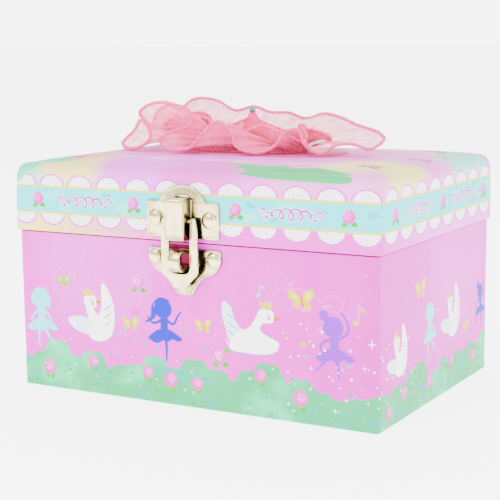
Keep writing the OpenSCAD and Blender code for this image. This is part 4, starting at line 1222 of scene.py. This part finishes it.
def padded_roll(y):
    """One plush ring roll with a flat underside and puckered ends."""
    left, right, middle, floor, r_full, sides = -71, -3.6, 44, 41.25, 4.2, 22
    points = []
    stations = np.linspace(left, right, 46)
    for x in stations:
        end = min(x - left, right - x)
        r = r_full * math.sqrt(max(0.02, 1 - max(0.0, 1 - end / 3.2) ** 2))
        for k, a in enumerate(turns(sides)):
            dent = r * (1 + 0.02 * noise.noise(Vector((x * 0.2, k * 0.7, y))))
            points.append(np.array((x, y + dent * math.sin(a), max(floor, middle + dent * math.cos(a)))))
    return points, grid_faces(len(stations), sides) + end_faces(len(stations), sides)


def puffed(obj, pressure, most, low, frames=20):
    """Swells a padded piece with the cloth solver. No point moves more than most, or below low."""
    start = [v.co.copy() for v in obj.data.vertices]
    cloth = obj.modifiers.new("puff", "CLOTH")
    cloth.settings.quality = 6
    cloth.settings.use_pressure = True
    cloth.settings.uniform_pressure_force = pressure
    cloth.settings.effector_weights.gravity = 0
    cloth.point_cache.frame_end = frames
    for moment in range(1, frames + 1):
        bpy.context.scene.frame_set(moment)
    held = obj.evaluated_get(bpy.context.evaluated_depsgraph_get())
    swollen = [v.co.copy() for v in held.data.vertices]
    obj.modifiers.remove(cloth)
    bpy.context.scene.frame_set(1)
    for vertex, first, last in zip(obj.data.vertices, start, swollen):
        move = last - first
        if move.length > most:
            move *= most / move.length
        spot = first + move
        vertex.co = (spot.x, spot.y, max(spot.z, low))
    obj.data.update()


rolls = piece("ring_rolls_plush", joined(*(padded_roll(y) for y in (-45.2, -36.4, -27.6))), VELVET, "velvet",
              "case", ["ring_rolls"], sharp=70)
puffed(rolls, pressure=4, most=0.3 * MM, low=41.25 * MM)


def wadding_form():
    """Low crowned sheet of wadding between the top board and the printed top."""
    half_x, half_y, bottom = 73.4, 51.4, 83.05
    xs, ys = np.linspace(-half_x, half_x, 50), np.linspace(-half_y, half_y, 36)
    below, above = [], []
    for y in ys:
        for x in xs:
            edge = min(half_x - abs(x), half_y - abs(y))
            high = crown(edge + 2.6) - 0.9 - 1.6 * max(0.0, 1 - edge / 2.5) ** 2
            below.append(np.array((x, y, bottom)))
            above.append(np.array((x, y, high)))
    flat = grid_faces(len(ys), len(xs), False)
    points, faces = joined((below, flat), (above, flat))
    at = np.arange(len(below)).reshape(len(ys), len(xs))
    rim = np.concatenate([at[0], at[1:, -1], at[-1, -2::-1], at[-2:0:-1, 0]]).tolist()
    faces += [(a, b, len(below) + b, len(below) + a) for a, b in zip(rim, rim[1:] + rim[:1])]
    return points, faces


pad = piece("lid_wadding", wadding_form(), WADDING, "wadding", "lid", ["lid_padding"])

# ---- dancer ----

LEAN = Matrix.Rotation(FOLD, 3, "X")


def leaning(p):
    """From the dancer standing upright on her toe to how she lies under the closed lid."""
    return tuple(PIVOT + LEAN @ Vector(p))


def limb(points, radii, sides=14, steps=5):
    line = curve(points, False, steps)
    return tube(line, np.interp(np.linspace(0, 1, len(line)), np.linspace(0, 1, len(radii)), radii), sides)


HAIR = surface("doll_hair", "3a1d10", "5c3520", 0.45, 800, 0.5)
SATIN = surface("satin", "e0409a", "f070b8", 0.3, 500, 0.1, Sheen_Weight=0.3, Coat_Weight=0.2)
LIP = surface("doll_lips", "c8385c", "dc5878", 0.35, 900, 0.02)
EYE = surface("doll_eyes", "2e1a14", "4a2c20", 0.25, 900, 0.02)
DANCER_NET = net("dancer_net", "ff6cb4", "ff9cd0", 0.62, 300)


def ring(count, place, radius, sides=8):
    """Closed rod round a circle, through the points that place(cos, sin) gives."""
    return tube([place(math.cos(a), math.sin(a)) for a in turns(count)], radius, sides, True)


def dancer_part(name, form, look, slot_name, nodes=(), sharp=60):
    return piece(name, form, look, slot_name, "dancer", nodes, sharp, leaning)


def build_dancer_body():
    chest = [(0.9, 28.4), (1.9, 28.2), (2.45, 27.4), (2.5, 26.9), (0.95, 28.9), (0.82, 30.2), (0.9, 31.4)]
    legs = [
        limb([(0, 0, 8), (0.15, 0.1, 10.4), (0.3, 0, 12.8), (0.6, 0, 16), (0.9, 0, 20)],
             (0.72, 0.98, 0.86, 1.25, 1.55)),
        limb([(-0.6, -1.2, 12.5), (-3, -1.5, 13.7), (-5.1, -1.4, 15.2)], (0.62, 0.9, 0.9)),
        limb([(-5.1, -1.4, 15.2), (-3, -0.7, 17.4), (-0.9, 0, 19.8)], (0.95, 1.2, 1.45)),
        ball((-5.15, -1.42, 15.25), (0.98, 0.98, 0.98), 9, 14),
    ]
    arms = both(lambda s: limb([(s * 1.9, 0, 27.6), (s * 4.2, -0.3, 29.6), (s * 5.6, -0.6, 32.4),
                                (s * 4.8, -0.8, 35.6), (s * 2.2, -0.9, 38.0)], (0.74, 0.6, 0.55, 0.46, 0.34)))
    hands = both(lambda s: ball((s * 1.7, -0.9, 38.3), (0.75, 0.3, 0.42), 8, 12))
    neck = tube([(0, 0, 28), (0, 0, 31.2)], 0.85, 16)
    head = ball((0, 0, 33), (2.35, 2.45, 2.6), 16, 28)
    nose = ball((0, -2.42, 32.8), (0.24, 0.28, 0.3), 7, 10)
    ears = both(lambda s: ball((s * 2.3, 0.1, 32.9), (0.25, 0.4, 0.5), 7, 10))
    form = joined(lathe(chest, 24), neck, head, nose, *ears, *legs, arms[0], hands[0], arms[1], hands[1])
    dancer_part("dancer_body", form, SKIN, "doll_plastic", ["dancer_figure"])
    bodice = [(1.2, 18.4), (2.0, 18.8), (2.42, 19.5), (2.4, 20.4), (1.95, 22), (1.84, 23.2), (2.1, 24.8),
              (2.5, 26.4), (2.62, 27.3), (2.4, 27.7), (2.2, 27.5)]
    straps = both(lambda s: limb([(s * 1.3, -2.1, 27.3), (s * 1.7, -0.6, 28.5), (s * 1.3, 1.4, 27.9)],
                                 (0.22, 0.22), 8))
    dancer_part("dancer_bodice", joined(lathe(bodice, 30), *straps), SATIN, "satin")


def build_dancer_head():
    points, faces = ball((0, 0.35, 33.45), (2.5, 2.45, 2.5), 14, 26)
    hairline = [p if p[1] > -1.15 or p[2] > 34.6 else np.array((p[0] * 0.8, p[1] * 0.75,
                                                                p[2])) for p in points]
    bun = ball((0, 2.1, 35.2), (1.35, 1.3, 1.3), 10, 18)
    twist = ring(24, lambda c, s: (1.36 * c, 2.05 + 0.25 * s, 34.5 + 1.36 * s), 0.3)
    dancer_part("dancer_hair", joined((hairline, faces), bun, twist), HAIR, "doll_plastic")
    band = [(2.0 * math.cos(a), 0.2 + 2.0 * math.sin(a), 35.0 + 0.22 * math.cos(5 * a)) for a in turns(40)]
    dancer_part("dancer_tiara", tube(band, 0.17, 7, True), BRASS_PLATE, "brass_plate")
    eyes = both(lambda s: ball((s * 0.88, -2.2, 33.4), (0.26, 0.16, 0.32), 8, 12))
    brows = both(lambda s: limb([(s * 0.5, -2.28, 34.1), (s * 0.95, -2.2, 34.3), (s * 1.35, -2.0, 34.15)],
                                (0.07, 0.09, 0.05), 6))
    dancer_part("dancer_eyes", joined(*eyes, *brows), EYE, "doll_plastic")
    dancer_part("dancer_lips", ball((0, -2.32, 32.0), (0.42, 0.16, 0.17), 7, 12), LIP, "doll_plastic")


def net_skirt(r, z, seed, folds, around=210, rows=9, waist=2.35):
    """One round layer of stiff net, wavy towards its free edge."""
    points = []
    for a in turns(around):
        for v in np.linspace(0, 1, rows + 1):
            reach = waist + (r - waist) * v
            wave = (0.3 + 0.35 * v) * math.sin(folds * a + seed) * (1 + 0.3 * math.sin(5 * a) * v)
            points.append(np.array((reach * math.cos(a), reach * math.sin(a), z - 1.0 * v * v + wave)))
    return points, grid_faces(around, rows + 1, False, True)


def build_dancer_clothes():
    shoe = limb([(0, 0, 5.1), (0.02, 0, 6.4), (0.1, 0.12, 8.6)], (0.62, 0.78, 0.8))
    block = tube([(0, 0, 5.02), (0, 0, 5.8)], 1.5, 20)
    other = limb([(0.9, -0.8, 11.3), (0.1, -1.0, 11.9), (-0.8, -1.2, 12.6)], (0.4, 0.66, 0.64))
    laces = [ring(16, lambda c, s: (0.14 + 0.92 * c, 0.1 + 0.92 * s, z + 0.35 * s), 0.1, 6) for z in (8.8,
                                                                                                      9.6)]
    dancer_part("dancer_shoes", joined(shoe, block, other, *laces), SATIN, "satin")
    layers = ((12.9, 20.3, 0, 30, 0.08), (11.6, 20.9, 2, 28, 0.07), (9.8, 21.5, 4, 24, 0.06))
    for i, (r, z, seed, folds, cut) in enumerate(layers):
        layer = dancer_part(f"dancer_tutu_{i + 1}", net_skirt(r, z, seed, folds), DANCER_NET, "dancer_net",
                            () if i else ["dancer_skirt"], 180)
    sash = ring(30, lambda c, s: (2.05 * c, 2.05 * s, 22.0), 0.42)
    bow = both(lambda s: limb([(0, 2.3, 22), (s * 1.6, 2.6, 23.0), (s * 1.9, 2.6, 21.8), (0, 2.3, 22)],
                              (0.3, 0.42, 0.3), 8))
    dancer_part("dancer_sash", joined(sash, *bow), TRIM, "satin")


build_dancer_body()
build_dancer_head()
build_dancer_clothes()


def build_spring():
    """Coil between the spindle and the dancer's toe, bent as it is under the closed lid."""
    coils, steps, r = 9, 16, 1.32
    bend = (PIVOT.z - SPINDLE_TOP) / math.tan(FOLD / 2)
    line = []
    for t in np.linspace(0, 1, coils * steps + 1):
        a, swing = t * FOLD, 2 * math.pi * coils * t
        out = np.array((0, math.cos(a), math.sin(a)))
        centre = np.array((PIVOT.x, PIVOT.y - bend, SPINDLE_TOP)) + bend * out
        line.append(centre + r * (math.cos(swing) * np.array((1, 0, 0)) + math.sin(swing) * out))
    coil = piece("dancer_coil_spring", tube(line, 0.24, 8), SPRING_STEEL, "spring_steel", None,
                 ["dancer_spring"], sharp=80)
    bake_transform(coil)


build_spring()


def build_mirror_frame():
    """Scalloped card frame round the mirror, with a gold line."""
    out = []
    corners = [np.array(c) for c in ((-62, -42), (62, -42), (62, 42), (-62, 42))]
    for a, b in zip(corners, corners[1:] + corners[:1]):
        length = math.dist(a, b)
        lobes = round(length / 7)
        along = (b - a) / length
        normal = np.array((along[1], -along[0]))
        for t in np.linspace(0, 1, lobes * 6, endpoint=False):
            out.append(a + along * length * t + normal * abs(math.sin(math.pi * t * lobes)) * 0.9)
    hole = rounded([(-56, -36), (-56, 36), (56, 36), (56, -36)], 0.6)
    points, faces = pressed(out, [hole], 1.7, 0.3)
    piece("mirror_frame_card", (points, faces), TRIM, "trim_paper", "lid", ["mirror_frame"],
          place=lambda p: (p[0], p[1], 77.75 + p[2]))
    line = [np.array((x, y, 77.7)) for x, y in rounded([(-58, -38), (58, -38), (58, 38), (-58, 38)], 3)]
    piece("mirror_frame_line", tube(line, 0.3, 6, True), BRASS_PLATE, "brass_plate", "lid")


build_mirror_frame()

# ---- floor, light and camera ----

floor_mesh = mesh_object("floor", [(-60, -60, 0), (60, -60, 0), (60, 60, 0), (-60, 60, 0)], [(0, 1, 2, 3)],
                         surface("backdrop", "f4f4f4", "fafafa", 0.8, 3, 0.0, Emission_Color=(1, 1, 1, 1),
                                 Emission_Strength=4.0))
floor_mesh.location.z = -0.0002

world = bpy.data.worlds.new("studio")
bpy.context.scene.world = world
world.use_nodes = True
sky = world.node_tree.nodes["Background"]
sky.inputs["Color"].default_value = (1.0, 0.985, 1.0, 1)
# The camera sees the sky as bright as the floor, while the object is lit by a softer one
light_strength, seen_more = 2.0, 5.0
ray = world.node_tree.nodes.new("ShaderNodeLightPath")
strength = world.node_tree.nodes.new("ShaderNodeMath")
strength.operation = "MULTIPLY_ADD"
strength.inputs[1].default_value, strength.inputs[2].default_value = seen_more, light_strength
world.node_tree.links.new(ray.outputs["Is Camera Ray"], strength.inputs[0])
world.node_tree.links.new(strength.outputs[0], sky.inputs["Strength"])


def lamp(name, place, aim, size, power):
    data = bpy.data.lights.new(name, "AREA")
    data.size = size
    data.energy = power
    obj = bpy.data.objects.new(name, data)
    obj.location = place
    obj.rotation_euler = (Vector(aim) - Vector(place)).to_track_quat("-Z", "Y").to_euler()
    bpy.context.scene.collection.objects.link(obj)


lamp("key_light", (-0.35, -0.75, 0.75), (0, 0, 0.04), 0.6, 10)
lamp("fill_light", (0.8, -0.2, 0.45), (0, 0, 0.05), 0.6, 4.5)
lamp("top_light", (0.0, 0.3, 0.9), (0, 0, 0.05), 0.8, 7)

# The camera that was solved from the box's corners in the photo: turn, height and roll in degrees
turn, height, roll = map(math.radians, (29.565, 8.947, -0.607))
back = Vector((math.sin(turn) * math.cos(height), -math.cos(turn) * math.cos(height), math.sin(height)))
side = Vector((0, 0, 1)).cross(back).normalized()
up = back.cross(side)
view_x = math.cos(roll) * side + math.sin(roll) * up
view_y = -math.sin(roll) * side + math.cos(roll) * up
camera = bpy.data.objects.new("camera", bpy.data.cameras.new("camera"))
camera.data.lens, camera.data.sensor_width = 94.48, 36
stands_at = Vector((0.2475, -0.4428, 0.1298))
camera.matrix_world = Matrix.Translation(stands_at) @ Matrix((view_x, view_y, back)).transposed().to_4x4()
bpy.context.scene.collection.objects.link(camera)
bpy.context.scene.camera = camera

# Looks of the CAD nodes that no piece above replaces
NODE_LOOKS = {
    "front_board back_board left_board right_board floor_board lid_front_board lid_back_board lid_left_board"
    " lid_right_board lid_top_board": GREYBOARD,
    "case_lining lid_lining compartment_divider": LINING,
    "stage_board": STAGE,
    "movement_partition ruffle_base": TRIM,
    "stop_pad": WOOD,
    "lid_mirror": MIRROR,
    "hinge_base_leaves hinge_lid_leaves hinge_base_tacks hinge_lid_tacks stage_bushing"
    " winding_key": BRASS_PLATE,
    "front_cheek rear_cheek governor_bracket spindle_bracket spring_barrel music_cylinder crown_wheel"
    " governor_wheel dancer_spindle": BRASS,
    "hinge_pins comb_screws mounting_screws winding_arbor ratchet_wheel governor_fly stop_wire": STEEL,
    "comb mainspring": SPRING_STEEL,
    "bedplate": ZINC,
    "ruffle_bead": BEAD,
}
for names, look in NODE_LOOKS.items():
    for n in names.split():
        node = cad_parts[n]
        node.data.materials.clear()
        node.data.materials.append(look)
